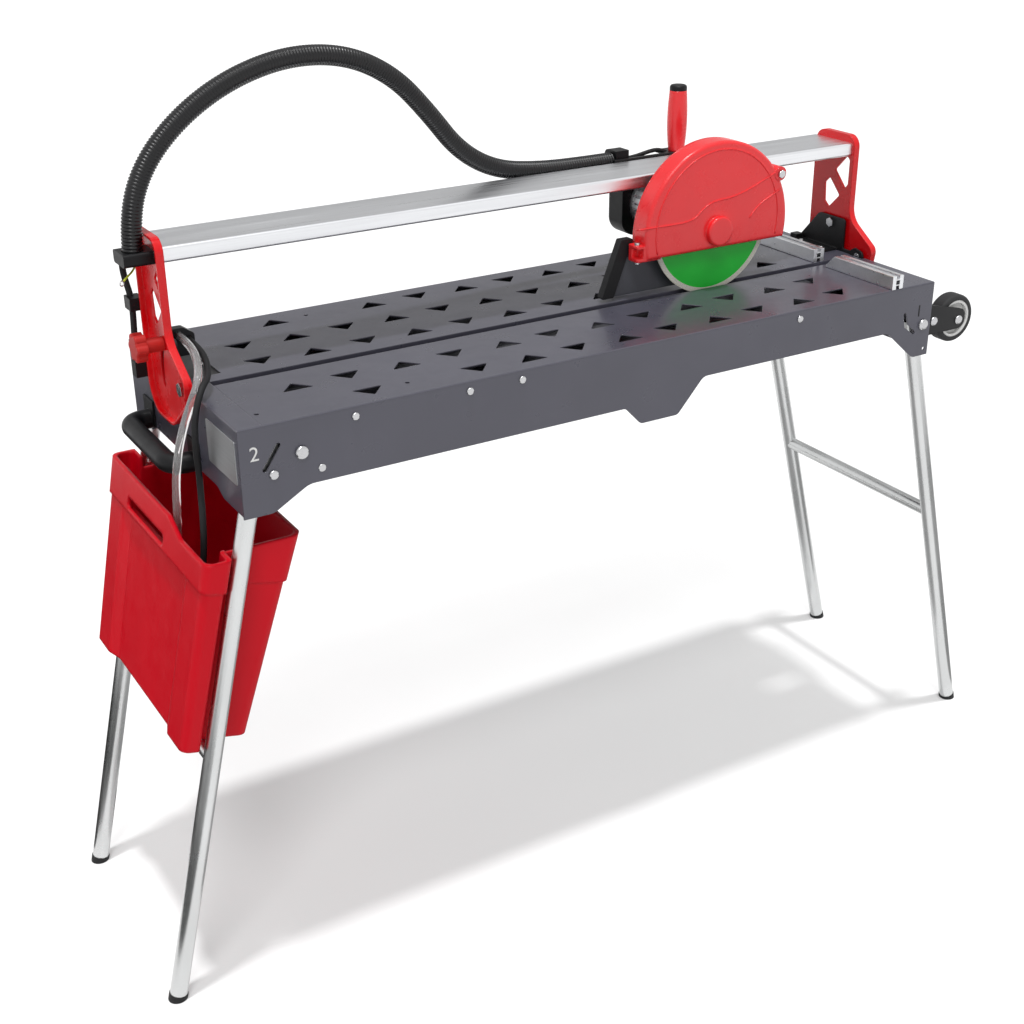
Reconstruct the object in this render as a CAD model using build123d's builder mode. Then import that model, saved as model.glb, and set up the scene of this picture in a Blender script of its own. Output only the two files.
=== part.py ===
"""Bridge wet tile saw on folding legs, in millimetres.

X runs along the table (+X is the wheel end), Y across it (+Y is the rear) and Z up from the floor.
The origin lies on the floor in the middle of the object's box. The bridge stands upright, the legs are out.
"""

import os
from math import atan2, cos, degrees, hypot, radians, sin, tan

from build123d import *

os.makedirs("parts", exist_ok=True)

# Table
TABLE_MID_X = -14.25
TABLE_LENGTH = 1070.0
TABLE_END = TABLE_LENGTH / 2
TABLE_WIDTH = 376.0
TABLE_TOP = 770.0
SHEET = 2.0
APRON_Z = 660.0
SLOT_Y = -30.0
SLOT_WIDTH = 15.0
SLOT_LIP = 12.0
SLOT_LEFT = 31.0 - TABLE_END
SLOT_RIGHT = TABLE_END - 30.0

# Drain holes: triangles in staggered rows
HOLE_BASE = 41.0
HOLE_HEIGHT = 24.0
HOLE_PITCH = 146.4
HOLES_PER_ROW = 6
REAR_ROWS = (15.0, 81.0, 150.0)
FRONT_ROWS = (-91.0, -154.0)

# Legs
TUBE_R = 11.5
TUBE_BORE = 10.0
CROSS_R = 10.0
LEG_Y = TABLE_WIDTH / 2 - 22.0
FOOT_EDGE = TABLE_END + 168.3
FOOT_R = 12.5
FOOT_LENGTH = 11.0
LEFT_SPLAY = 13.2
RIGHT_SPLAY = 14.9
LEFT_PIVOT = (76.0 - TABLE_END, 728.0)
RIGHT_PIVOT = (TABLE_END - 15.5, 708.0)
LEFT_CROSS_Z = 344.0
RIGHT_CROSS_Z = 378.0
PIVOT_SHANK = 5.0

# Bridge
TILT_Y = SLOT_Y
TILT_Z = TABLE_TOP
SUPPORT_IN = TABLE_END + 0.6
SUPPORT_PLATE = 3.0
SUPPORT_DEPTH = 10.0
BEAM_FRONT = 5.0
BEAM_REAR = 90.0
BEAM_LOW = 915.0
BEAM_TOP = 934.0
TRACK = (18.0, 70.0, 918.0, 931.0)
TRACK_SLOT = (31.5, 56.5)
STUD_YZ = (31.0, 810.0)
STUD_R = 4.0
TILT_RANGE = 45.0

# Carriage and cutting head
HEAD_X = 247.0
AXIS_Z = 862.0
BLADE_R = 100.0
BLADE_THICK = 2.2
RIM_R = 93.0
GUARD_R = 124.0
GUARD_Z = 854.0
GUARD_FRONT = -46.0
GUARD_BACK = -17.0
GUARD_WALL = 2.5
GUARD_LOW = 828.0
MOTOR_R = 39.0
MOTOR_CORE = 34.0
MOTOR_FRONT = 5.0
MOTOR_REAR = 112.0
SPINDLE_R = 6.0

# Wheels
WHEEL_R = 36.0
WHEEL_X = TABLE_END + 69.5
WHEEL_Z = 697.5
WHEEL_Y = (TABLE_WIDTH / 2 - 40.0, TABLE_WIDTH / 2 - 16.0)
AXLE_R = 4.0

# Cords
CONDUIT_R = 12.5
CONDUIT_BORE = 9.5
CONDUIT_RIBS = 150
HOSE_R = 5.0
HOSE_BORE = 3.5
CABLE_R = 4.0

# Fits
RUN_FIT = 0.05
SCREW_FIT = 0.1
GLIDE_FIT = 0.3


def at(offset):
    """X of a point given from the middle of the table."""
    return TABLE_MID_X + offset


def front_plane(y):
    """Plane facing the front: sketch X is X, sketch Y is Z, extrusion goes to -Y."""
    return Plane(origin=(0, y, 0), x_dir=(1, 0, 0), z_dir=(0, -1, 0))


def side_plane(x):
    """Plane facing +X: sketch X is Y, sketch Y is Z, extrusion goes to +X."""
    return Plane(origin=(x, 0, 0), x_dir=(0, 1, 0), z_dir=(1, 0, 0))


def rounded(points):
    """Flat outline from (x, y, corner radius) points."""
    with BuildSketch() as face:
        with BuildLine():
            Polyline(*[(x, y) for x, y, _ in points], close=True)
        make_face()
        for x, y, radius in points:
            if radius > 0:
                corner = face.vertices().sort_by_distance((x, y, 0))[0]
                fillet(corner, radius)
    return face.sketch


def slab(plane, points, depth):
    """Plate from an outline of (x, y, corner radius) points."""
    outline = rounded(points)
    with BuildPart() as body:
        with BuildSketch(plane):
            add(outline)
        extrude(amount=depth)
    return body.part


def block(x0, x1, y0, y1, z0, z1):
    """Box between two corners."""
    with BuildPart() as body:
        with BuildSketch(Plane.XY.offset(z0)):
            with Locations(((x0 + x1) / 2, (y0 + y1) / 2)):
                Rectangle(x1 - x0, y1 - y0)
        extrude(amount=z1 - z0)
    return body.part


def rod(start, end, radius, sides=0):
    """Cylinder, or prism with a number of sides, from one point to another."""
    run = Vector(*end) - Vector(*start)
    with BuildPart() as body:
        with BuildSketch(Plane(origin=start, z_dir=run)):
            if sides:
                RegularPolygon(radius, sides)
            else:
                Circle(radius)
        extrude(amount=run.length)
    return body.part


def button_head(base, direction, radius, height):
    """Domed screw head standing on a face."""
    with BuildPart() as head:
        with BuildSketch(Plane(origin=base, z_dir=direction)):
            Circle(radius)
        extrude(amount=height)
        above = Vector(*base) + Vector(*direction) * (height * 3)
        rims = head.edges().filter_by(GeomType.CIRCLE)
        fillet(rims.sort_by_distance(above)[0], height * 0.7)
    return head.part


def bend_radii(points):
    """Radius of each bend so that neighbouring bends leave straight runs between them."""
    radii = []
    for before, here, after in zip(points, points[1:], points[2:]):
        first = Vector(*here) - Vector(*before)
        second = Vector(*after) - Vector(*here)
        turn = radians(first.get_angle(second))
        radii.append(0.45 * min(first.length, second.length) / tan(turn / 2))
    return radii


def cord_path(points):
    """Straight runs joined by tangent arcs."""
    with BuildLine() as line:
        FilletPolyline(*points, radius=bend_radii(points))
    return line.wires()[0]


def cord(points, radius, bore=0):
    """Round cord swept along its path."""
    path = cord_path(points)
    with BuildPart() as body:
        with BuildSketch(Plane(origin=path @ 0, z_dir=path % 0)):
            Circle(radius)
            if bore:
                Circle(bore, mode=Mode.SUBTRACT)
        sweep(path=path)
    return body.part


def save(node, name):
    node.part.label = name
    export_step(node.part, "parts/" + name + ".step")


TABLE_LEFT = at(-TABLE_LENGTH / 2)
TABLE_RIGHT = at(TABLE_LENGTH / 2)
HALF_WIDTH = TABLE_WIDTH / 2
SKIRT_IN = HALF_WIDTH - SHEET
SHEET_LOW = TABLE_TOP - SHEET
NOTCH_RIGHT = at(55.0 - TABLE_END)
NOTCH_Y = (0.0, 130.0)
LUG_IN = TABLE_END - 7.0
LUG_Y = (-44.5, -15.5)
SLOT_FRONT = SLOT_Y - SLOT_WIDTH / 2
SLOT_REAR = SLOT_Y + SLOT_WIDTH / 2


def drain_triangle(x, y, apex_rear):
    tip = HOLE_HEIGHT / 2 if apex_rear else -HOLE_HEIGHT / 2
    return rounded([(x - HOLE_BASE / 2, y - tip, 1.5), (x + HOLE_BASE / 2, y - tip, 1.5), (x, y + tip, 1.5)])


def drain_holes(triangles, rounds):
    """Cutter for the holes of one deck sheet: triangles and (x, y, radius) round holes."""
    with BuildPart() as cutter:
        with BuildSketch(Plane.XY.offset(SHEET_LOW - 1)):
            for x, y, apex_rear in triangles:
                add(drain_triangle(at(x), y, apex_rear))
            for x, y, radius in rounds:
                with Locations((at(x), y)):
                    Circle(radius)
        extrude(amount=SHEET + 2)
    return cutter.part


FENCE_X = (TABLE_END - 83.0, TABLE_END - 63.0)
FENCE_SCREWS = [(sum(FENCE_X) / 2, y) for y in (-165.0, -90.0, 20.0, 160.0)]
M6_R = 2.9

# Deck sheets, each with a lip folded down beside the blade slot
with BuildPart() as deck_front:
    add(block(at(SLOT_LEFT), at(SLOT_RIGHT), -HALF_WIDTH, SLOT_FRONT, SHEET_LOW, TABLE_TOP))
    front_fold = deck_front.edges().filter_by(Axis.X).group_by(Axis.Z)[-1].sort_by(Axis.Y)[0]
    fillet(front_fold, SHEET * 0.9)
    add(block(at(SLOT_LEFT), at(SLOT_RIGHT), SLOT_FRONT - SHEET, SLOT_FRONT, SHEET_LOW - SLOT_LIP, SHEET_LOW))
    front_holes = []
    for row, y in enumerate(FRONT_ROWS):
        for k in range(HOLES_PER_ROW):
            front_holes.append((-352 + HOLE_PITCH * k, y, False))
            if row == 0 or k > 1:
                front_holes.append((-422 + HOLE_PITCH * k, y, True))
    front_rounds = [(-496, -152, 3), (-302, -152, 3)]
    front_rounds += [(x, y, M6_R + SCREW_FIT) for x, y in FENCE_SCREWS[:2]]
    add(drain_holes(front_holes, front_rounds), mode=Mode.SUBTRACT)
save(deck_front, "deck_front")

with BuildPart() as deck_rear:
    add(block(at(SLOT_LEFT), at(SLOT_RIGHT), SLOT_REAR, HALF_WIDTH, SHEET_LOW, TABLE_TOP))
    rear_fold = deck_rear.edges().filter_by(Axis.X).group_by(Axis.Z)[-1].sort_by(Axis.Y)[-1]
    fillet(rear_fold, SHEET * 0.9)
    add(block(at(SLOT_LEFT), at(SLOT_RIGHT), SLOT_REAR, SLOT_REAR + SHEET, SHEET_LOW - SLOT_LIP, SHEET_LOW))
    rear_holes = []
    for row, y in enumerate(REAR_ROWS):
        for k in range(HOLES_PER_ROW):
            rear_holes.append((-348 + HOLE_PITCH * k, y, True))
            if row < 2 or k > 1:
                rear_holes.append((-422 + HOLE_PITCH * k, y, False))
    rear_rounds = [(-298, 154, 3)]
    rear_rounds += [(x, y, M6_R + SCREW_FIT) for x, y in FENCE_SCREWS[2:]]
    add(drain_holes(rear_holes, rear_rounds), mode=Mode.SUBTRACT)
    notch = block(at(SLOT_LEFT) - 1, NOTCH_RIGHT, *NOTCH_Y, SHEET_LOW - 1, TABLE_TOP + 1)
    add(notch, mode=Mode.SUBTRACT)
save(deck_rear, "deck_rear")

BRACKET_SCREWS_L = [(50.0 - TABLE_END, y) for y in (45.0, 65.0)]
BRACKET_SCREWS_R = [(TABLE_END - 23.0, y) for y in (30.0, 75.0)]
M5_R = 2.4

with BuildPart() as deck_ends:
    add(block(TABLE_LEFT, at(SLOT_LEFT), -HALF_WIDTH, HALF_WIDTH, SHEET_LOW, TABLE_TOP))
    add(block(at(SLOT_RIGHT), TABLE_RIGHT, -HALF_WIDTH, HALF_WIDTH, SHEET_LOW, TABLE_TOP))
    folds = deck_ends.edges().group_by(Axis.Z)[-1]
    outer = folds.filter_by(Axis.X)
    outer += folds.filter_by(Axis.Y).sort_by(Axis.X)[0:1]
    outer += folds.filter_by(Axis.Y).sort_by(Axis.X)[-1:]
    fillet(outer, SHEET * 0.9)
    add(block(TABLE_LEFT - 1, at(SLOT_LEFT) + 1, *NOTCH_Y, SHEET_LOW - 1, TABLE_TOP + 1), mode=Mode.SUBTRACT)
    add(block(TABLE_LEFT - 1, at(-LUG_IN), LUG_Y[0], 1, SHEET_LOW - 1, TABLE_TOP + 1), mode=Mode.SUBTRACT)
    add(block(at(LUG_IN), TABLE_RIGHT + 1, *LUG_Y, SHEET_LOW - 1, TABLE_TOP + 1), mode=Mode.SUBTRACT)
    for x, y in BRACKET_SCREWS_R:
        add(rod((at(x), y, SHEET_LOW - 1), (at(x), y, TABLE_TOP + 1), M5_R + SCREW_FIT), mode=Mode.SUBTRACT)
save(deck_ends, "deck_ends")

# Skirts: one outline, front and rear
SKIRT_POINTS = [
    (-TABLE_END, SHEET_LOW, 0), (TABLE_END, SHEET_LOW, 0), (TABLE_END, APRON_Z, 0),
    (TABLE_END - 30, APRON_Z, 14), (TABLE_END - 83, 706, 20), (121, 706, 14), (80, APRON_Z, 9),
    (20, APRON_Z, 9), (-5, 686, 9), (83 - TABLE_END, 686, 26), (37 - TABLE_END, APRON_Z, 20),
    (-TABLE_END, APRON_Z, 0),
]
TRAY_SCREWS = (-389.0, -236.0, -162.0, 283.0)
TRAY_SCREW_Z = 757.5
LOCK_BOLT = (40.0 - TABLE_END, 708.0)
LOCK_SHANK = 4.0
RIVET = (100.0 - TABLE_END, 703.0)
LOCK_SLOT = ((48.0 - TABLE_END, 742.5), (30.0 - TABLE_END, 716.0))
ARC_SLOT = ((TABLE_END - 52.0, 728.0), (TABLE_END - 48.0, 711.0), (TABLE_END - 32.0, 699.0))
RELIEF = (TABLE_END - 8.0, 670.0)
LOCK_SLOT_R = 3.0


def skirt(y_front, y_back):
    with BuildPart() as plate:
        add(slab(front_plane(y_back), [(at(x), z, r) for x, z, r in SKIRT_POINTS], y_back - y_front))
        for x, z, radius in (
            (*LEFT_PIVOT, PIVOT_SHANK), (*RIGHT_PIVOT, PIVOT_SHANK), (*LOCK_BOLT, LOCK_SHANK),
            (*RIVET, M5_R), *[(x, TRAY_SCREW_Z, M5_R) for x in TRAY_SCREWS],
        ):
            hole = rod((at(x), y_back + 1, z), (at(x), y_front - 1, z), radius + SCREW_FIT)
            add(hole, mode=Mode.SUBTRACT)
        for ends in (LOCK_SLOT, ARC_SLOT):
            for (x0, z0), (x1, z1) in zip(ends, ends[1:]):
                length = hypot(x1 - x0, z1 - z0)
                angle = degrees(atan2(z1 - z0, x1 - x0))
                with BuildSketch(front_plane(y_back + 1)):
                    with Locations(((at(x0) + at(x1)) / 2, (z0 + z1) / 2)):
                        SlotCenterToCenter(length, LOCK_SLOT_R * 2, rotation=angle)
                extrude(amount=y_back - y_front + 2, mode=Mode.SUBTRACT)
        x, z = RELIEF
        relief = rod((at(x), y_back + 1, z), (at(x), y_front - 1, z), 2.5)
        add(relief, mode=Mode.SUBTRACT)
    return plate.part


with BuildPart() as front_skirt:
    add(skirt(-HALF_WIDTH, -SKIRT_IN))
save(front_skirt, "front_skirt")

with BuildPart() as rear_skirt:
    add(skirt(SKIRT_IN, HALF_WIDTH))
save(rear_skirt, "rear_skirt")

LEFT_PLATE_POINTS = [
    (-SKIRT_IN, SHEET_LOW, 0), (SKIRT_IN, SHEET_LOW, 0), (SKIRT_IN, 663, 0), (126, 663, 8), (106, 672, 8),
    (-106, 672, 8), (-126, 663, 8), (-SKIRT_IN, 663, 0),
]
RIGHT_PLATE_POINTS = [
    (-SKIRT_IN, SHEET_LOW, 0), (SKIRT_IN, SHEET_LOW, 0), (SKIRT_IN, 692, 0), (SKIRT_IN - 38, 692, 6),
    (SKIRT_IN - 46, 664, 6), (46 - SKIRT_IN, 664, 6), (38 - SKIRT_IN, 692, 6), (-SKIRT_IN, 692, 0),
]
PIVOT_BOLT_R = 5.0

with BuildPart() as end_plates:
    add(slab(side_plane(TABLE_LEFT), LEFT_PLATE_POINTS, SHEET))
    add(slab(side_plane(TABLE_RIGHT - SHEET), RIGHT_PLATE_POINTS, SHEET))
    for x in (TABLE_LEFT, TABLE_RIGHT):
        bolt_notch = rod((x - 5, TILT_Y, TILT_Z), (x + 5, TILT_Y, TILT_Z), PIVOT_BOLT_R + 0.5)
        add(bolt_notch, mode=Mode.SUBTRACT)
save(end_plates, "end_plates")

# Drain tray: a pan under the deck with a chute above the bucket
TRAY_X = (-400.0, 440.0)
TRAY_TOP = 764.0
TRAY_LOW = (734.0, 744.0)
TRAY_SHEET = 1.5
CHUTE_X = -472.0
CHUTE_Y = 120.0

with BuildPart() as drain_tray:
    pan = [(at(TRAY_X[0]), TRAY_TOP, 0), (at(TRAY_X[1]), TRAY_TOP, 0), (at(TRAY_X[1]), TRAY_LOW[1], 0),
           (at(TRAY_X[0]), TRAY_LOW[0], 0)]
    chute = [(at(TRAY_X[0]) + 1, 750, 0), (at(TRAY_X[0]) + 1, TRAY_LOW[0], 0), (at(CHUTE_X), 729, 0),
             (at(CHUTE_X), 745, 0)]
    add(slab(front_plane(SKIRT_IN), pan, 2 * SKIRT_IN))
    add(slab(front_plane(CHUTE_Y), chute, 2 * CHUTE_Y))
    inside = [(at(TRAY_X[0]) - 1, TRAY_TOP + 5, 0), (at(TRAY_X[1]) - TRAY_SHEET, TRAY_TOP + 5, 0),
              (at(TRAY_X[1]) - TRAY_SHEET, TRAY_LOW[1] + TRAY_SHEET, 0),
              (at(TRAY_X[0]) - 1, TRAY_LOW[0] + TRAY_SHEET, 0)]
    run_off = [(at(TRAY_X[0]) + 2, 760, 0), (at(TRAY_X[0]) + 2, TRAY_LOW[0] + TRAY_SHEET, 0),
               (at(CHUTE_X) - 1, 729 + TRAY_SHEET, 0), (at(CHUTE_X) - 1, 760, 0)]
    add(slab(front_plane(SKIRT_IN - TRAY_SHEET), inside, 2 * (SKIRT_IN - TRAY_SHEET)), mode=Mode.SUBTRACT)
    add(slab(front_plane(CHUTE_Y - TRAY_SHEET), run_off, 2 * (CHUTE_Y - TRAY_SHEET)), mode=Mode.SUBTRACT)
    low_wall = block(at(TRAY_X[1]) - 5, at(TRAY_X[1]) + 1, -SKIRT_IN + 3, SKIRT_IN - 3, 754, TRAY_TOP + 1)
    add(low_wall, mode=Mode.SUBTRACT)
    for side in (-1, 1):
        for x in TRAY_SCREWS:
            start = (at(x), side * (SKIRT_IN - 5), TRAY_SCREW_Z)
            end = (at(x), side * (SKIRT_IN + 1), TRAY_SCREW_Z)
            add(rod(start, end, M5_R + SCREW_FIT), mode=Mode.SUBTRACT)
save(drain_tray, "drain_tray")

# Tilt brackets: upright plates beside the supports, with a lug round the tilt axis
BRACKET_OUT = TABLE_END - 2.0
BRACKET_IN = TABLE_END - 5.0
BRACKET_PROFILE = [
    (-43, 778, 9), (-24, 782, 6), (-14, 775, 4), (1, 775, 2), (1, 820, 6), (59, 820, 12), (99, 776, 4),
]
LUG_LOW = 758.0
FOOT_PLATE = 3.0
POST_Y = (40.0, 52.0)
POST_Z = (786.0, 822.0)
HOSE_XZ = (19.0 - TABLE_END, 814.0)
HOSE_START = 38.0
CABLE_XZ = (32.0 - TABLE_END, 806.0)
CABLE_START = 45.0

with BuildPart() as left_tilt_bracket:
    base = SHEET_LOW - FOOT_PLATE
    left_profile = [(-43, LUG_LOW, 6), *BRACKET_PROFILE, (99, base, 0), (-16, base, 0), (-16, LUG_LOW, 3)]
    add(slab(side_plane(at(-BRACKET_OUT)), left_profile, BRACKET_OUT - BRACKET_IN))
    add(block(at(-BRACKET_IN), at(67 - TABLE_END), -3, 132, base, SHEET_LOW))
    post = [(-BRACKET_IN, POST_Z[0], 0), (40 - TABLE_END, POST_Z[0], 3), (40 - TABLE_END, POST_Z[1] - 9, 5),
            (27 - TABLE_END, POST_Z[1], 6), (-BRACKET_IN, POST_Z[1], 0)]
    add(slab(front_plane(POST_Y[1]), [(at(x), z, r) for x, z, r in post], POST_Y[1] - POST_Y[0]))
    x, z = HOSE_XZ
    add(rod((at(x), POST_Y[0] + 1, z), (at(x), HOSE_START, z), HOSE_R))
    add(rod((at(x), POST_Y[0], z), (at(x), HOSE_START - 8, z), HOSE_BORE - RUN_FIT))
    x, z = CABLE_XZ
    gland = rod((at(x), CABLE_START, z), (at(x), 0, z), CABLE_R + 0.2)
    add(gland, mode=Mode.SUBTRACT)
    for y, z, radius in ((TILT_Y, TILT_Z, PIVOT_BOLT_R), (*STUD_YZ, STUD_R)):
        hole = rod((at(-BRACKET_OUT) - 1, y, z), (at(-BRACKET_IN) + 1, y, z), radius + RUN_FIT)
        add(hole, mode=Mode.SUBTRACT)
    for x, y in BRACKET_SCREWS_L:
        add(rod((at(x), y, base - 1), (at(x), y, SHEET_LOW + 1), M5_R + SCREW_FIT), mode=Mode.SUBTRACT)
save(left_tilt_bracket, "left_tilt_bracket")

with BuildPart() as right_tilt_bracket:
    right_profile = [(-43, LUG_LOW, 6), *BRACKET_PROFILE, (99, TABLE_TOP, 0), (-16, TABLE_TOP, 0),
                     (-16, LUG_LOW, 3)]
    add(slab(side_plane(at(BRACKET_IN)), right_profile, BRACKET_OUT - BRACKET_IN))
    add(block(at(TABLE_END - 35), at(BRACKET_IN), 14, 92, TABLE_TOP, TABLE_TOP + FOOT_PLATE))
    add(block(at(TABLE_END - 19), at(BRACKET_IN), 92, 106, TABLE_TOP, TABLE_TOP + 9))
    for y, z, radius in ((TILT_Y, TILT_Z, PIVOT_BOLT_R), (*STUD_YZ, STUD_R)):
        hole = rod((at(BRACKET_IN) - 1, y, z), (at(BRACKET_OUT) + 1, y, z), radius + RUN_FIT)
        add(hole, mode=Mode.SUBTRACT)
    for x, y in BRACKET_SCREWS_R:
        hole = rod((at(x), y, TABLE_TOP - 1), (at(x), y, TABLE_TOP + FOOT_PLATE + 1), M5_R + SCREW_FIT)
        add(hole, mode=Mode.SUBTRACT)
save(right_tilt_bracket, "right_tilt_bracket")

SUPPORT_FACE = SUPPORT_IN + SUPPORT_PLATE
FACE_GAP = 0.4

with BuildPart() as tilt_bolts:
    for side in (-1, 1):
        inner = (at(side * (BRACKET_IN - 0.5)), TILT_Y, TILT_Z)
        shoulder = (at(side * (SUPPORT_FACE + FACE_GAP)), TILT_Y, TILT_Z)
        head = (at(side * (SUPPORT_FACE + FACE_GAP + 6)), TILT_Y, TILT_Z)
        add(rod(inner, shoulder, PIVOT_BOLT_R))
        add(rod(shoulder, head, 9, 6))
        reach = TABLE_END + 33 if side < 0 else SUPPORT_FACE + FACE_GAP
        add(rod((at(side * (BRACKET_IN - 4)), *STUD_YZ), (at(side * BRACKET_IN), *STUD_YZ), 7.5, 6))
        add(rod((at(side * BRACKET_IN), *STUD_YZ), (at(side * reach), *STUD_YZ), STUD_R))
    washer_in = SUPPORT_FACE + FACE_GAP
    add(rod((at(washer_in), *STUD_YZ), (at(washer_in + 2), *STUD_YZ), 11))
    add(rod((at(washer_in + 2), *STUD_YZ), (at(washer_in + 8), *STUD_YZ), 7.5, 6))
save(tilt_bolts, "tilt_bolts")

with BuildPart() as table_screws:
    for side in (-1, 1):
        for x in TRAY_SCREWS:
            face = (at(x), side * HALF_WIDTH, TRAY_SCREW_Z)
            add(rod((at(x), side * (SKIRT_IN - 4), TRAY_SCREW_Z), face, M5_R))
            add(button_head(face, (0, side, 0), 5, 2.8))
        face = (at(RIVET[0]), side * HALF_WIDTH, RIVET[1])
        add(rod((at(RIVET[0]), side * (SKIRT_IN - 0.5), RIVET[1]), face, M5_R))
        add(button_head(face, (0, side, 0), 5, 2))
    for x, y in BRACKET_SCREWS_L:
        face = (at(x), y, SHEET_LOW)
        add(rod((at(x), y, SHEET_LOW - FOOT_PLATE - 5), face, M5_R))
        add(button_head(face, (0, 0, 1), 4.5, 1.9))
    for x, y in BRACKET_SCREWS_R:
        face = (at(x), y, TABLE_TOP + FOOT_PLATE)
        add(rod((at(x), y, SHEET_LOW - 5), face, M5_R))
        add(button_head(face, (0, 0, 1), 4.5, 2.8))
    for x, y in FENCE_SCREWS:
        add(rod((at(x), y, SHEET_LOW - 4), (at(x), y, SHEET_LOW), 5, 6))
        add(rod((at(x), y, SHEET_LOW), (at(x), y, TABLE_TOP + 5), M6_R))
save(table_screws, "table_screws")

PIVOT_HEAD_R = 8.5
PIVOT_HEAD = 5.0
TAB_Y = (HALF_WIDTH - 11.0, HALF_WIDTH - 6.0)

with BuildPart() as leg_bolts:
    for side in (-1, 1):
        for (x, z), end, spacer, nut in (
            (LEFT_PIVOT, TAB_Y[0] - 6, TAB_Y[1] + FACE_GAP, TAB_Y[0] - 2),
            (RIGHT_PIVOT, LEG_Y - 19, LEG_Y + TUBE_R + FACE_GAP, LEG_Y - TUBE_R - FACE_GAP),
        ):
            face = (at(x), side * HALF_WIDTH, z)
            add(rod((at(x), side * end, z), face, PIVOT_SHANK))
            add(button_head(face, (0, side, 0), PIVOT_HEAD_R, PIVOT_HEAD))
            add(rod((at(x), side * spacer, z), (at(x), side * SKIRT_IN, z), 8))
            add(rod((at(x), side * (nut - 4), z), (at(x), side * nut, z), 8, 6))
        x, z = LOCK_BOLT
        face = (at(x), side * HALF_WIDTH, z)
        add(rod((at(x), side * (SKIRT_IN - 3), z), face, LOCK_SHANK))
        add(button_head(face, (0, side, 0), 6, 3.5))
        add(rod((at(x), side * (SKIRT_IN - 3), z), (at(x), side * SKIRT_IN, z), 6, 6))
save(leg_bolts, "leg_bolts")

HANDLE_R = 13.0
HANDLE_X = -32.0 - TABLE_END
HANDLE_Z = 680.0
HANDLE_Y = (-38.0, 125.0)

with BuildPart() as carry_handle:
    with BuildLine() as grip_line:
        FilletPolyline(
            (TABLE_LEFT, HANDLE_Y[0], HANDLE_Z), (at(HANDLE_X), HANDLE_Y[0], HANDLE_Z),
            (at(HANDLE_X), HANDLE_Y[1], HANDLE_Z), (TABLE_LEFT, HANDLE_Y[1], HANDLE_Z), radius=20,
        )
    with BuildSketch(Plane(origin=grip_line.line @ 0, z_dir=grip_line.line % 0)):
        Circle(HANDLE_R)
    sweep(path=grip_line.line)
    for y in HANDLE_Y:
        add(block(TABLE_LEFT - 3, TABLE_LEFT, y - 18, y + 18, 673, 708))
save(carry_handle, "carry_handle")

with BuildPart() as rating_plate:
    front = 10 - TABLE_WIDTH / 2
    corners = [(front, 699, 3), (front + 89, 699, 3), (front + 89, 753, 3), (front, 753, 3)]
    add(slab(side_plane(TABLE_LEFT - 0.8), corners, 0.8))
save(rating_plate, "rating_plate")

# Fence rails: slotted square bar, cut back where the tilted blade passes
RAIL = FENCE_X[1] - FENCE_X[0]
RAIL_MID = (FENCE_X[0] + FENCE_X[1]) / 2


def fence_rail(y_front, y_rear):
    with BuildPart() as rail:
        with BuildSketch(front_plane(y_rear)):
            with Locations((at(RAIL_MID), TABLE_TOP + RAIL / 2)):
                RectangleRounded(RAIL, RAIL, 1.2)
                with Locations((0, RAIL / 2 - 2.75), (0, 2.75 - RAIL / 2)):
                    Rectangle(6.2, 5.5, mode=Mode.SUBTRACT)
                Rectangle(7, 6, mode=Mode.SUBTRACT)
        extrude(amount=y_rear - y_front)
    return rail.part


with BuildPart() as fence_rails:
    add(fence_rail(-HALF_WIDTH, -45))
    cut_back = [(-45, TABLE_TOP - 1, 0), (-66, TABLE_TOP + RAIL, 0), (-66, TABLE_TOP + RAIL + 2, 0),
                (-40, TABLE_TOP + RAIL + 2, 0), (-40, TABLE_TOP - 1, 0)]
    add(slab(side_plane(at(FENCE_X[0]) - 1), cut_back, RAIL + 2), mode=Mode.SUBTRACT)
    add(fence_rail(SLOT_REAR + 1, HALF_WIDTH))
save(fence_rails, "fence_rails")

# Transport wheels
ARM_Y = (WHEEL_Y[1] + 1.0, WHEEL_Y[1] + 5.0)
ARM_Z = (683.5, 728.0)
ARM_BOLT = (TABLE_END + 18.0, 704.0)
ARM_POINTS = [
    (TABLE_RIGHT, ARM_Z[0], 0), (TABLE_RIGHT, ARM_Z[1], 0), (at(TABLE_END + 17), ARM_Z[1], 6),
    (at(WHEEL_X + 14), WHEEL_Z + 14, 13), (at(WHEEL_X + 14), ARM_Z[0], 13),
]

with BuildPart() as wheel_brackets:
    for side in (-1, 1):
        y_low, y_high = sorted((side * ARM_Y[0], side * ARM_Y[1]))
        add(slab(front_plane(y_high), ARM_POINTS, y_high - y_low))
        foot = sorted((side * (WHEEL_Y[0] - 8), side * ARM_Y[1]))
        add(block(TABLE_RIGHT, TABLE_RIGHT + 4, *foot, *ARM_Z))
        ends = [(at(WHEEL_X), y, WHEEL_Z) for y in (y_low - 1, y_high + 1)]
        add(rod(*ends, AXLE_R + RUN_FIT), mode=Mode.SUBTRACT)
save(wheel_brackets, "wheel_brackets")

with BuildPart() as wheel_axles:
    for side in (-1, 1):
        places = (WHEEL_Y[0] - 7, WHEEL_Y[0] - 6, WHEEL_Y[0] - 1, ARM_Y[1])
        inner, nut, stop, outer = [(at(WHEEL_X), side * y, WHEEL_Z) for y in places]
        add(rod(inner, outer, AXLE_R))
        add(rod(nut, stop, 7, 6))
        add(button_head(outer, (0, side, 0), 7, 3.5))
        add(button_head((at(ARM_BOLT[0]), side * ARM_Y[1], ARM_BOLT[1]), (0, side, 0), 7, 3.5))
save(wheel_axles, "wheel_axles")

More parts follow.
